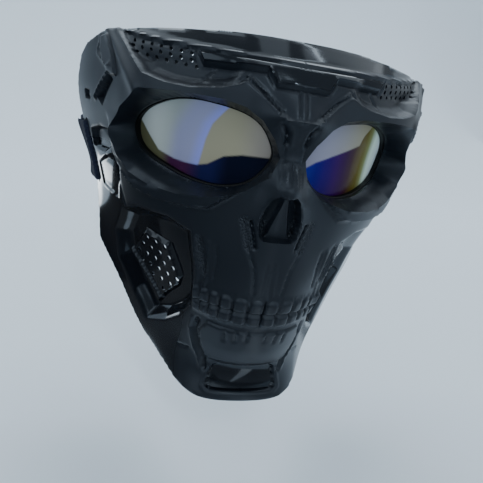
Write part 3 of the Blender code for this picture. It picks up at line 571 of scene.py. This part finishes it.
def teeth_relief(u, v):
    top, bite, bottom = TOOTH_LEVELS
    near, far = tooth_at(u)
    phase = np.clip((u - near) / (far - near), 0, 1)
    crown = np.sqrt(np.clip(1 - (2 * phase - 1)**4, 0, 1))
    level = np.where(v > bite, (top - v) / (top - bite), (v - bottom) / (bite - bottom))
    row = ramp(level / 0.45) * ramp((TOOTH_GAPS[-1] - u) / 1.5)
    groove = np.exp(-((v - bite) / BITE_REACH)**2) * ramp((TOOTH_GAPS[-1] - u) / 3)
    return TOOTH_RISE * crown * row - BITE_DEPTH * groove


def open_relief(u, v):
    """Height of the carved face above the skin, before the eye sockets are cut."""
    ridge = smooth_rows(RIDGE, RIDGE_COLUMNS, v)
    height = RIDGE_RISE * ridge["rise"] * np.exp(-(u / ridge["half_width"])**2)
    height = height + brow_relief(u, v) + cheek_relief(u, v) + teeth_relief(u, v)
    height = height - GROOVE_DEPTH * ramp(1 - line_distance(u, v, JAW_GROOVE) / GROOVE_REACH)
    return height + sum(raised(u, v, *area) for area in AREAS)


def socket_share(u, v):
    """0 at the rim of the eye socket and beyond, 1 at the eye opening."""
    within = np.maximum(depth_inside(u, v, EYE_RIM), 0)
    beyond = np.maximum(-depth_inside(u, v, eye_line(EYE_MARGIN)) - EYE_SLACK, 0)
    return within / np.maximum(within + beyond, 1e-6)


def opening_depth(u):
    """Depth of the shell's edge at the eye opening, below the skin: it sinks outwards."""
    inner, outer = EYE_OPENING[0][0], EYE_OPENING[9][0]
    share = np.clip((np.abs(u) - inner) / (outer - inner), 0, 1)
    return SOCKET_INNER_DEPTH + (SOCKET_DEPTH - SOCKET_INNER_DEPTH) * share


def relief(u, v):
    """Height of the outer face of the shell above the skin, in metres."""
    u = np.abs(np.asarray(u, float))
    v = np.asarray(v, float)
    share = socket_share(u, v)
    return open_relief(u, v) * (1 - share) - opening_depth(u) * share


def back_relief(u, v):
    """Height of the shell's inner face: the wall is thicker along the normal where the face is steep."""
    u = np.abs(u)
    fall_u = (relief(u + FALL_STEP, v) - relief(u - FALL_STEP, v)) / (2 * FALL_STEP * SKIN.part)
    fall_v = (relief(u, v + FALL_STEP) - relief(u, v - FALL_STEP)) / (2 * FALL_STEP * LEVEL)
    steep = np.minimum(np.sqrt(1 + fall_u**2 + fall_v**2), STEEP_LIMIT)
    share = socket_share(u, v)
    wall = WALL * steep * (1 - share) + EYE_EDGE_WALL * share
    thin = raised(u, v, VENT_PANEL, 1.0, PANEL_SLOPE)
    wall = wall * (1 - thin) + VENT_WALL * thin
    return np.minimum(relief(u, v) - wall, RIDGE_RISE)


def lined(u, v, rows):
    """Sum of soft lines along the skin."""
    total = np.zeros(np.shape(u))
    for line, size, reach in rows:
        total = total + size * np.exp(-(line_distance(u, v, line) / reach)**2)
    return total


def tooth_outlines(u, v):
    """Sunk outlines round the crowns of the teeth."""
    top, bite, bottom = TOOTH_LEVELS
    near, far = tooth_at(u)
    half = (far - near) / 2
    across = (u - near - half) / half
    total = np.zeros(np.shape(u))
    for root in (top - 1.5, bottom + 1.5):
        along = (v - bite) / (root - bite)
        ring = np.sqrt(np.abs(across)**3 + np.clip(along, 0, 3)**4)
        line = np.exp(-((ring - 0.86) * half / TOOTH_ARC_REACH)**2) * (along > -0.02) * (u < TOOTH_GAPS[-1])
        total = np.maximum(total, line * ramp(abs(bite - root) * (1.5 - along)))
    return total


def fine_relief(u, v):
    """Height of the details too fine for the solids."""
    u = np.abs(u)
    height = lined(u, v, RIBS) - lined(u, v, GROOVES)
    for outline, depth in NOTCHES:
        height = height - raised(u, v, outline, depth, NOTCH_SLOPE)
    high, low = NOSE_RIB_LEVELS
    ribs = sum(np.exp(-((u - place) / NOSE_RIB_REACH)**2) for place in NOSE_RIBS)
    height = height - NOSE_RIB_DEPTH * ribs * ramp(v - low) * ramp(high - v)
    height = height - TOOTH_ARC_DEPTH * tooth_outlines(u, v)
    share = socket_share(u, v)
    return height * (1 - share)**2 + lined(u, v, SOCKET_LINES) * ramp((1 - share) * 4)


def resampled(points, step, closed=False):
    """Points about a step apart along a line, keeping its corners."""
    points = [tuple(map(float, point)) for point in points]
    ends = points[1:] + points[:1] if closed else points[1:]
    result = []
    for start, end in zip(points, ends):
        count = max(1, round(math.dist(start, end) / step))
        result += [tuple(np.array(start) + (np.array(end) - start) * k / count) for k in range(count)]
    return result if closed else result + [points[-1]]


def lattice(outline, step):
    """Staggered places inside an outline, a step apart."""
    low, high = np.min(outline, axis=0), np.max(outline, axis=0)
    rise = step * math.sqrt(3) / 2
    rows = np.arange(low[1] + rise / 2, high[1], rise)
    across = np.arange(low[0], high[0], step)
    places = np.array([(u + (index % 2) * step / 2, v) for index, v in enumerate(rows) for u in across])
    return places[inside(*places.T, outline)]


def triangulated(edge, holes, lines, step, details=(), detail_step=None):
    """Places and triangles of one half of a sheet, with its holes left open."""
    loops = [resampled(edge, step, closed=True)] + [list(map(tuple, hole)) for hole in holes]
    runs = [resampled(line, detail_step or step) for line in lines]
    fixed = [place for loop in loops + runs for place in loop]
    links = []
    start = 0
    for index, line in enumerate(loops + runs):
        links += [(start + k, start + k + 1) for k in range(len(line) - 1)]
        if index < len(loops):
            links.append((start + len(line) - 1, start))
        start += len(line)
    free = lattice(edge, step)
    for region in details:
        free = free[~inside(*free.T, region)]
    fields = [(free, step)] + [(lattice(region, detail_step), detail_step) for region in details]
    places = list(fixed)
    for field, spacing in fields:
        gap = np.sqrt(((field[:, None, :] - np.array(fixed)) ** 2).sum(-1)).min(axis=1)
        field = field[(gap > LINE_GAP * spacing) & (field[:, 0] > CENTRE_GAP * spacing)]
        places += [tuple(place) for place in field]
    flat, _, faces, *_ = delaunay_2d_cdt([Vector(place) for place in places], links, [], 0, 1e-5, False)
    flat = np.array([tuple(place) for place in flat])
    faces = np.array([tuple(face) for face in faces])
    middle = flat[faces].mean(axis=1)
    keep = inside(*middle.T, edge)
    for hole in holes:
        keep &= ~inside(*middle.T, hole)
    a, b, c = flat[faces[keep]].transpose(1, 2, 0)
    area = (b[0] - a[0]) * (c[1] - a[1]) - (b[1] - a[1]) * (c[0] - a[0])
    faces = np.where((area > 0)[:, None], faces[keep], faces[keep][:, ::-1])[np.abs(area) > 1e-5]
    used, index = np.unique(faces, return_inverse=True)
    flat = flat[used]
    flat[np.abs(flat[:, 0]) < 1e-3, 0] = 0
    return flat, index.reshape(-1, 3)


def mirrored(flat, faces):
    """Both halves of a sheet, joined along the centre line."""
    other = np.where(flat[:, 0] == 0, np.arange(len(flat)), -1)
    extra = np.flatnonzero(other < 0)
    other[extra] = len(flat) + np.arange(len(extra))
    both = np.concatenate([flat, flat[extra] * [-1, 1]])
    return both, np.concatenate([faces, other[faces][:, ::-1]])


def round_hole(centre, width, sides):
    """Outline of a small round hole, wide in metres, at a place in parts."""
    turn = np.arange(sides) * 2 * math.pi / sides
    return [(centre[0] + width / 2 / SKIN.part * math.cos(t), centre[1] + width / 2 / LEVEL * math.sin(t))
            for t in turn]


def pattern(first, along, next_row, count, rows, shift):
    """Places of a pattern of holes."""
    first, along, next_row = (np.array(step, float) for step in (first, along, next_row))
    places = [(k + shift * (row % 2), row) for row in range(rows) for k in range(count)]
    return [first + along * across + next_row * row for across, row in places]


def strap_slot():
    """Outline of the slot that the strap is looped through, in parts."""
    half_u = STRAP_SLOT_WIDTH / 2 / SKIN.part
    half_v = (STRAP_WIDTH / 2 + STRAP_SLOT_SPARE) / LEVEL
    middle = STRAP_LEVEL / LEVEL
    low, high = STRAP_SLOT_PLACE - half_u, STRAP_SLOT_PLACE + half_u
    bottom, top = middle - half_v, middle + half_v
    corners = ((low, bottom), (high, bottom), (high, top), (low, top))
    return resampled(corners, SKIN_STEP / LEVEL, closed=True)


def frame_lip(u, v):
    """0 at the shell's eye opening and beyond, 1 on the frame's lip inside it."""
    return ramp(depth_inside(np.abs(u), v, eye_line(EYE_MARGIN)) * LEVEL / EYE_MARGIN)


def frame_front(u, v):
    """Height of the frame's front face: close behind the shell's edge, and falling a little to the lens."""
    return -opening_depth(u) - EYE_EDGE_WALL - FIT_GAP - FRAME_SLOPE * frame_lip(u, v)


def frame_back(u):
    """Height of the frame's back face."""
    return -opening_depth(u) - EYE_EDGE_WALL - FIT_GAP - FRAME_SLOPE - FRAME_WALL


def frame_edge():
    """Outline of the +X half of the frame: round the opening, and over the nose to the centre line."""
    line = [place for place in eye_line(EYE_MARGIN + FRAME_LAP, 1) if place[0] > EYE_OPENING[2][0]]
    return [(0.0, line[0][1] - 5)] + line + [(0.0, line[-1][1] + 11)]


def strap_route(rise):
    """Line along the strap at a height above its middle, from its folded left end to the right one."""
    clear = FIT_GAP * 2 + STRAP_THICK / 2
    out, back = clear, -WALL - clear
    bend = STRAP_SLOT_PLACE
    level = (STRAP_LEVEL + rise) / LEVEL
    layer = STRAP_THICK + FIT_GAP * 1.5
    held = ((bend + 21, out + layer * 0.35), (bend + 15, out + layer * 0.3), (bend + 10, out),
            (bend + 5, out), (bend + 1.8, out), (bend + 0.6, out - 0.0003), (bend, out - 0.0012),
            (bend, -WALL / 2), (bend, back + 0.0012), (bend + 0.6, back + 0.0003), (bend + 1.8, back),
            (bend + 6, back), (bend + 11, back), (bend + 15, back + 0.0009), (bend + 20, out - layer * 0.8),
            (bend + 24, out - layer * 0.72))
    u, height = np.array(held).T
    near = SKIN.lifted(u, np.full(len(u), level), height)
    leave = near[-1] - near[-2]
    leave = leave / np.linalg.norm(leave)
    start, pull = near[-1], near[-1] + leave * STRAP_LEAVE
    shoulder = np.array([STRAP_BULGE * STRAP_SHOULDER, STRAP_REACH, STRAP_BACK_LEVEL + rise])
    last = np.array([0.0, STRAP_REACH, STRAP_BACK_LEVEL + rise])
    wide = np.array([STRAP_BULGE, pull[1] + STRAP_WIDEN, pull[2]])
    t = np.linspace(0, 1, STRAP_STATIONS + 1)[1:, None]
    far = ((1 - t)**4 * start + 4 * t * (1 - t)**3 * pull + 6 * t**2 * (1 - t)**2 * wide
           + 4 * t**3 * (1 - t) * shoulder + t**4 * last)
    half = np.concatenate([near, far])
    other = half[:-1][::-1] * [-1, 1, 1]
    return np.concatenate([half, other])


def placed(name, data):
    """A new object in the scene."""
    item = bpy.data.objects.new(name, data)
    bpy.context.scene.collection.objects.link(item)
    return item


def piece(name, outer, inner, faces, material, node, smooth_angle=40.0, facts=None):
    """A smooth shaded solid between two faces of a sheet, which stands for one node of the solids."""
    mesh = bpy.data.meshes.new(name)
    mesh.from_pydata([tuple(point) for point in np.concatenate([outer, inner])], [],
                     solid_faces(len(outer), faces))
    mesh.validate()
    mesh.update()
    mesh.materials.append(material)
    for key, values in (facts or {}).items():
        single = np.ndim(values) == 1
        layer = mesh.attributes.new(key, "FLOAT" if single else "FLOAT_COLOR", "POINT")
        layer.data.foreach_set("value" if single else "color", np.asarray(values, np.float32).ravel())
    item = placed(name, mesh)
    mesh.shade_smooth()
    mesh.set_sharp_from_angle(angle=math.radians(smooth_angle))
    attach(item, "root")
    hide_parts(node)
    return item


def solid_faces(count, faces):
    """Faces of the closed solid between two faces of a sheet with a count of points each."""
    solid = np.concatenate([faces, faces[:, ::-1] + count]).tolist()
    sides = {(start, end) for face in faces.tolist() for start, end in zip(face, face[1:] + face[:1])}
    rim = [(start, end) for start, end in sides if (end, start) not in sides]
    return solid + [(end, start, start + count, end + count) for start, end in rim]


def nose_sink(u, v):
    """How far the space between the nose openings lies below the solid's, in metres."""
    u = np.abs(u)
    whole = raised(u, v, NOSE_CAVITY, NOSE_SINK, EDGE_SLOPE)
    return whole - raised(u, v, NOSTRIL, NOSE_SINK - NOSTRIL_SINK, EDGE_SLOPE)


def gloss_and_shade_share(u, v):
    """1 where the shell is glossy, 0 where it is satin; the cheek hollow's darkness is partly painted shade.
    """
    u = np.abs(u)
    crescent = ramp((v - 31.5 - 0.07 * u) / 1.5) * ramp((96 - u) / 4)
    band = raised(u, v, FOREHEAD_STRIP, 1.0, BAND_SLOPE)
    chin = raised(u, v, CHIN_PANEL, 1.0, 1.0)
    side = ramp((u - 96) / 6) * ramp((-14 - v) / 6)
    # The cheek hollow is glossy and darker, partly painted shade
    cheek = ramp(depth_inside(u, v, HOLLOW) / 4)
    jaw = ramp((u - 42) / 8) * ramp((-96 - v) / 8) * 0.5
    return np.clip(np.maximum.reduce([crescent, band * 0.85, chin, side, cheek, jaw]), 0, 1)


def stipple_share(u, v):
    """1 where the plastic has a coarse moulded grain."""
    u = np.abs(u)
    return np.max([ramp(1.6 - line_distance(u, v, line) / reach) for line, reach in GRAIN_PATCHES], axis=0)


def build_shell(material):
    holes = [eye_line(EYE_MARGIN, 6), strap_slot()]
    vents = [place for place in pattern(*VENT_HOLES) if depth_inside(*place, VENT_PANEL) > VENT_MARGIN]
    holes += [round_hole(place, BROW_HOLE, HOLE_SIDES[0]) for place in pattern(*BROW_HOLES)]
    holes += [round_hole(place, VENT_HOLE, HOLE_SIDES[1]) for place in vents]
    closed = [EYE_RIM, VENT_PANEL, VENT_LIP, TEMPLE_PLATE, TEMPLE_SLOT, NOSTRIL]
    lines = [line + line[:1] for line in closed]
    brow_line = resampled(BROW_TOP[2:9], 4)
    lines += [beside(brow_line, shift) for shift in (1 - BROW_SLOPE, 0.3, 1.0)]
    lines += [CHEEK_EDGE[2:9], FOREHEAD_STRIP[1:5], CHIN_PANEL[1:5], JAW_PLATE[1:5]]
    flat, faces = triangulated(SHELL_EDGE, holes, lines, SKIN_STEP / LEVEL, FINE_AREAS, DETAIL_STEP / LEVEL)
    flat, faces = mirrored(flat, faces)
    u, v = flat.T
    whole = list(SHELL_EDGE) + [(-a, b) for a, b in SHELL_EDGE[-2:0:-1]]
    edge = np.clip(line_distance(u, v, whole, closed=True) * LEVEL / EDGE_ROUND, 0, 1)
    drop = EDGE_ROUND * (1 - np.sqrt(1 - (1 - edge)**2))
    sink = nose_sink(u, v)
    outer = SKIN.lifted(u, v, relief(u, v) + fine_relief(u, v) - drop - sink)
    inner = SKIN.lifted(u, v, back_relief(u, v) + drop - sink)
    facts = {"gloss_and_shade": np.tile(gloss_and_shade_share(u, v), 2), "grain": np.tile(stipple_share(u, v), 2)}
    facts["grain"][len(u):] = 0
    return piece("shell_moulding", outer, inner, faces, material, "mask_shell", 38.0, facts)


def build_frame(material):
    seat_line = eye_line(EYE_MARGIN, 6)
    flat, faces = triangulated(frame_edge(), [eye_line(FRAME_TRIM, 6)], [seat_line + seat_line[:1]],
                               FRAME_STEP / LEVEL)
    flat, faces = mirrored(flat, faces)
    u, v = flat.T
    outer = SKIN.lifted(u, v, frame_front(u, v) - FRAME_BEVEL * frame_lip(u, v))
    inner = SKIN.lifted(u, v, frame_back(u))
    return piece("goggle_moulding", outer, inner, faces, material, "goggle_frame")


def blended(amount, low, high):
    """Colours between two, or two lists of them, by the amount at each place."""
    amount = amount[:, None]
    return np.array(low) * (1 - amount) + np.array(high) * amount


def above_line(u, v, line):
    """Height above a line given as places, in parts."""
    line = np.array(line, float)
    return v - np.interp(u, line[:, 0], line[:, 1])


def right_lens_hue_and_reflection(u, v):
    """Colours of the wearer's right lens: its own hues with a painted reflection, a pale sky above a dark
    wave.
    """
    sky = blended(ramp(1 - above_line(v, u, BAND_OUTER) / 14), PALE_GREY, LILAC)
    # Paler towards the outer end: painted light where the socket shades the lens
    sky = blended(ramp((u - 62) / 22), sky, OUTER_GREY)
    inward = above_line(v, u, BAND_INNER)
    sky = blended(ramp(1 - inward / 9), sky, PALE_BLUE)
    beige = blended(ramp((30 - u) / 20), BEIGE, ROSE_BEIGE)
    sky = blended(ramp(0.5 - inward / 1.5), sky, beige)
    dark = blended(ramp((u - 30) / 12), NAVY, DEEP_BLUE)
    dark = blended(ramp((u - 46) / 14), dark, DEEP_PURPLE)
    dark = blended(ramp((u - 68) / 10), dark, OLIVE)
    return blended(ramp(0.5 - above_line(u, v, WAVE) / WAVE_BLUR), sky, dark)


def left_lens_hue_and_reflection(u, v):
    """Colours of the wearer's left lens: own hues and painted reflection, pale sky above blue to pale green
    bands.
    """
    bands = np.array([np.interp(u, BAND_PLACES, shade) for shade in zip(*BAND_COLOURS)]).T
    sky = blended(ramp((u - 20) / 40), LILAC_GREY, BEIGE)
    return blended(ramp(0.5 - above_line(u, v, LEFT_WAVE) / WAVE_BLUR), sky, bands)


def build_lens(name, side, node, material):
    flat, faces = triangulated(eye_line(LENS_LAP, 6), [], [], LENS_STEP / LEVEL)
    u, v = flat.T
    # The lens's own hues with a painted reflection of the room on its front; its inner face plain dark grey
    hues_and_reflection = left_lens_hue_and_reflection(u, v) if side > 0 else right_lens_hue_and_reflection(u, v)
    flat = flat * [side, 1]
    if side < 0:
        faces = faces[:, ::-1]
    u = flat[:, 0]
    front = frame_back(u) - FIT_GAP
    outer, inner = SKIN.lifted(u, v, front), SKIN.lifted(u, v, front - LENS_WALL)
    hues_and_reflection = np.concatenate([hues_and_reflection, np.full_like(hues_and_reflection, 0.02)])
    hues_and_reflection = np.concatenate([hues_and_reflection, np.ones((len(hues_and_reflection), 1))], axis=1)
    return piece(name, outer, inner, faces, material, node, 60.0, {"hue_and_reflection": hues_and_reflection})


def build_strap(material):
    rows = STRAP_ROWS
    rises = np.linspace(-STRAP_WIDTH / 2, STRAP_WIDTH / 2, rows)
    middle = np.stack([strap_route(rise) for rise in rises], axis=1)
    last = len(middle) - 1
    places = np.linspace(0, last, STRAP_SPLITS * last + 1)
    low = np.minimum(places.astype(int), last - 1)
    share = (places - low)[:, None, None]
    before, after = np.maximum(low - 1, 0), np.minimum(low + 2, last)
    middle = curve_between(middle[before], middle[low], middle[low + 1], middle[after], share)
    normal = np.cross(np.gradient(middle, axis=0), np.gradient(middle, axis=1))
    normal /= np.linalg.norm(normal, axis=-1, keepdims=True)
    stations = len(middle)
    run = np.concatenate([[0], np.cumsum(np.linalg.norm(np.diff(middle[:, rows // 2], axis=0), axis=1))])
    edge = np.sqrt(np.clip(1 - np.abs(np.linspace(-1, 1, rows))**STRAP_EDGE_POWER, 0.04, 1))[None, :, None]
    outer = (middle + normal * STRAP_THICK / 2 * edge).reshape(-1, 3)
    inner = (middle - normal * STRAP_THICK / 2 * edge).reshape(-1, 3)
    corner = (np.arange(stations - 1)[:, None] * rows + np.arange(rows - 1)[None]).ravel()
    faces = np.concatenate([np.stack([corner, corner + rows, corner + rows + 1], -1),
                            np.stack([corner, corner + rows + 1, corner + 1], -1)])
    along = np.repeat(run, rows) / WEAVE_PITCH
    across = np.tile(rises, stations) / WEAVE_PITCH
    facts = {"along": np.tile(along, 2), "across": np.tile(across, 2)}
    return piece("strap_band", outer, inner, faces, material, "strap", 50.0, facts)


def new_material(name, look):
    """A material, its node tree and its shader's sockets, with the values that are the same all over."""
    material = bpy.data.materials.new(name)
    material.use_nodes = True
    sockets = material.node_tree.nodes["Principled BSDF"].inputs
    for socket, value in look.items():
        sockets[socket].default_value = value
    return material, material.node_tree, sockets


def kept_value(tree, name, output="Fac"):
    """Socket of the values that a mesh keeps at its points."""
    node = tree.nodes.new("ShaderNodeAttribute")
    node.attribute_name = name
    return node.outputs[output]


def mixed(tree, amount, low, high):
    """A value between two numbers, by a socket's amount."""
    node = tree.nodes.new("ShaderNodeMapRange")
    node.inputs["To Min"].default_value = low
    node.inputs["To Max"].default_value = high
    tree.links.new(amount, node.inputs["Value"])
    return node.outputs["Result"]


def mixed_colour(tree, amount, low, high):
    """A colour between two colours, by a socket's amount."""
    node = tree.nodes.new("ShaderNodeMix")
    node.data_type = "RGBA"
    node.inputs["A"].default_value = (*low, 1)
    node.inputs["B"].default_value = (*high, 1)
    tree.links.new(amount, node.inputs["Factor"])
    return node.outputs["Result"]


def bumped(tree, height, depth, normal):
    """Strength socket of a bump that bends a normal by a socket's height."""
    node = tree.nodes.new("ShaderNodeBump")
    node.inputs["Distance"].default_value = depth
    tree.links.new(height, node.inputs["Height"])
    tree.links.new(node.outputs["Normal"], normal)
    return node.inputs["Strength"]


def shell_plastic():
    material, tree, shader = new_material("shell_plastic_look", SHELL_LOOK)
    gloss_and_shade = kept_value(tree, "gloss_and_shade")
    # The darker glossy black is partly painted shade in the cheek hollow
    tree.links.new(mixed_colour(tree, gloss_and_shade, SATIN_BLACK, GLOSS_AND_SHADE_BLACK), shader["Base Color"])
    tree.links.new(mixed(tree, gloss_and_shade, SATIN_ROUGHNESS, GLOSS_ROUGHNESS), shader["Roughness"])
    noise = tree.nodes.new("ShaderNodeTexNoise")
    noise.inputs["Scale"].default_value = GRAIN_SCALE
    noise.inputs["Detail"].default_value = 1.0
    place = tree.nodes.new("ShaderNodeTexCoord")
    tree.links.new(place.outputs["Object"], noise.inputs["Vector"])
    strength = bumped(tree, noise.outputs["Fac"], GRAIN_DEPTH, shader["Normal"])
    tree.links.new(mixed(tree, kept_value(tree, "grain"), *GRAIN_STRENGTH), strength)
    return material


def frame_plastic():
    return new_material("frame_plastic_look", FRAME_LOOK)[0]


def lens_hue_and_reflection():
    material, tree, shader = new_material("mirror_lens_look", LENS_LOOK)
    # Base colour: the lens's own hues with a painted reflection of the room
    tree.links.new(kept_value(tree, "hue_and_reflection", "Color"), shader["Base Color"])
    return material


def webbing():
    material, tree, shader = new_material("strap_webbing_look", STRAP_LOOK)
    product = tree.nodes.new("ShaderNodeMath")
    product.operation = "MULTIPLY"
    for index, name in enumerate(("along", "across")):
        wave = tree.nodes.new("ShaderNodeMath")
        wave.operation = "SINE"
        tree.links.new(kept_value(tree, name), wave.inputs[0])
        tree.links.new(wave.outputs[0], product.inputs[index])
    weave = product.outputs[0]
    # Darker between the threads, lighter on them: painted shade in the weave's hollows
    light = mixed(tree, weave, *WEAVE_SHADES)
    tree.links.new(mixed_colour(tree, light, STRAP_DARK, STRAP_LIGHT), shader["Base Color"])
    bumped(tree, weave, WEAVE_DEPTH, shader["Normal"]).default_value = WEAVE_STRENGTH
    return material


def build_stage():
    """A pale floor that bends up into a backdrop."""
    back = STAGE_BEND + STAGE_RADIUS
    rows = [(STAGE_FRONT, 0.0), (STAGE_BEND, 0.0)]
    rows += [(STAGE_BEND + STAGE_RADIUS * math.sin(t), STAGE_RADIUS * (1 - math.cos(t)))
             for t in np.linspace(0.1, math.pi / 2, 16)]
    rows.append((back, STAGE_TOP))
    points = [(x, y, STAGE_LEVEL + z) for x in (-STAGE_SIDE, STAGE_SIDE) for y, z in rows]
    count = len(rows)
    mesh = bpy.data.meshes.new("stage")
    mesh.from_pydata(points, [], [(k, count + k, count + k + 1, k + 1) for k in range(count - 1)])
    mesh.materials.append(new_material("stage_look", STAGE_LOOK)[0])
    mesh.shade_smooth()
    placed("stage", mesh)


def build_light(name, place, target, width, length, power):
    """A soft rectangular lamp that the camera doesn't see."""
    light = bpy.data.lights.new(name, "AREA")
    light.energy = power
    light.color = LIGHT_COLOUR
    light.shape = "RECTANGLE"
    light.size = width
    light.size_y = length
    item = placed(name, light)
    item.location = place
    item.rotation_euler = (Vector(target) - Vector(place)).to_track_quat("-Z", "Y").to_euler()
    item.visible_camera = False


def build_room():
    """A dim room with a wide soft light overhead, windows at both sides and narrow lamps."""
    world = bpy.data.worlds.new("room")
    bpy.context.scene.world = world
    world.use_nodes = True
    world.node_tree.nodes["Background"].inputs["Color"].default_value = (*ROOM_COLOUR, 1)
    world.node_tree.nodes["Background"].inputs["Strength"].default_value = ROOM_STRENGTH
    for light in LIGHTS:
        build_light(*light)


def build_card(name, low, high, shade, glow):
    """A card on the floor, seen only in reflections, that paints reflected shade, and reflected light where
    it glows.
    """
    (x0, y0), (x1, y1) = low, high
    corners = [(x, y, STAGE_LEVEL + CARD_LIFT) for x, y in ((x0, y0), (x1, y0), (x1, y1), (x0, y1))]
    look = {"Base Color": (shade, shade, shade, 1), "Roughness": 1.0,
            "Emission Color": (*LIGHT_COLOUR, 1), "Emission Strength": glow}
    mesh = bpy.data.meshes.new(name)
    mesh.from_pydata(corners, [], [(0, 1, 2, 3)])
    mesh.materials.append(new_material(name + "_look", look)[0])
    item = placed(name, mesh)
    item.visible_camera = False
    item.visible_shadow = False
    item.visible_diffuse = False


def build_camera():
    data = bpy.data.cameras.new("camera")
    data.sensor_width = CAMERA_SENSOR
    data.lens = CAMERA_LENS
    data.clip_start = CAMERA_NEAR
    camera = placed("camera", data)
    turns = ((-CAMERA_HEADING, "Z"), (90 + CAMERA_TILT, "X"), (CAMERA_ROLL, "Z"))
    heading, tilt, roll = (Matrix.Rotation(math.radians(angle), 4, axis) for angle, axis in turns)
    camera.matrix_world = Matrix.Translation(CAMERA_PLACE) @ heading @ tilt @ roll
    bpy.context.scene.camera = camera


build_camera()
shell = build_shell(shell_plastic())
goggles = build_frame(frame_plastic())
hue_and_reflection = lens_hue_and_reflection()
for name, side, node in (("lens_left_glass", 1, "lens_left"), ("lens_right_glass", -1, "lens_right")):
    build_lens(name, side, node, hue_and_reflection)
build_strap(webbing())
build_stage()
for number, card in enumerate(CARDS):
    build_card(f"card_{number}", *card)
build_room()
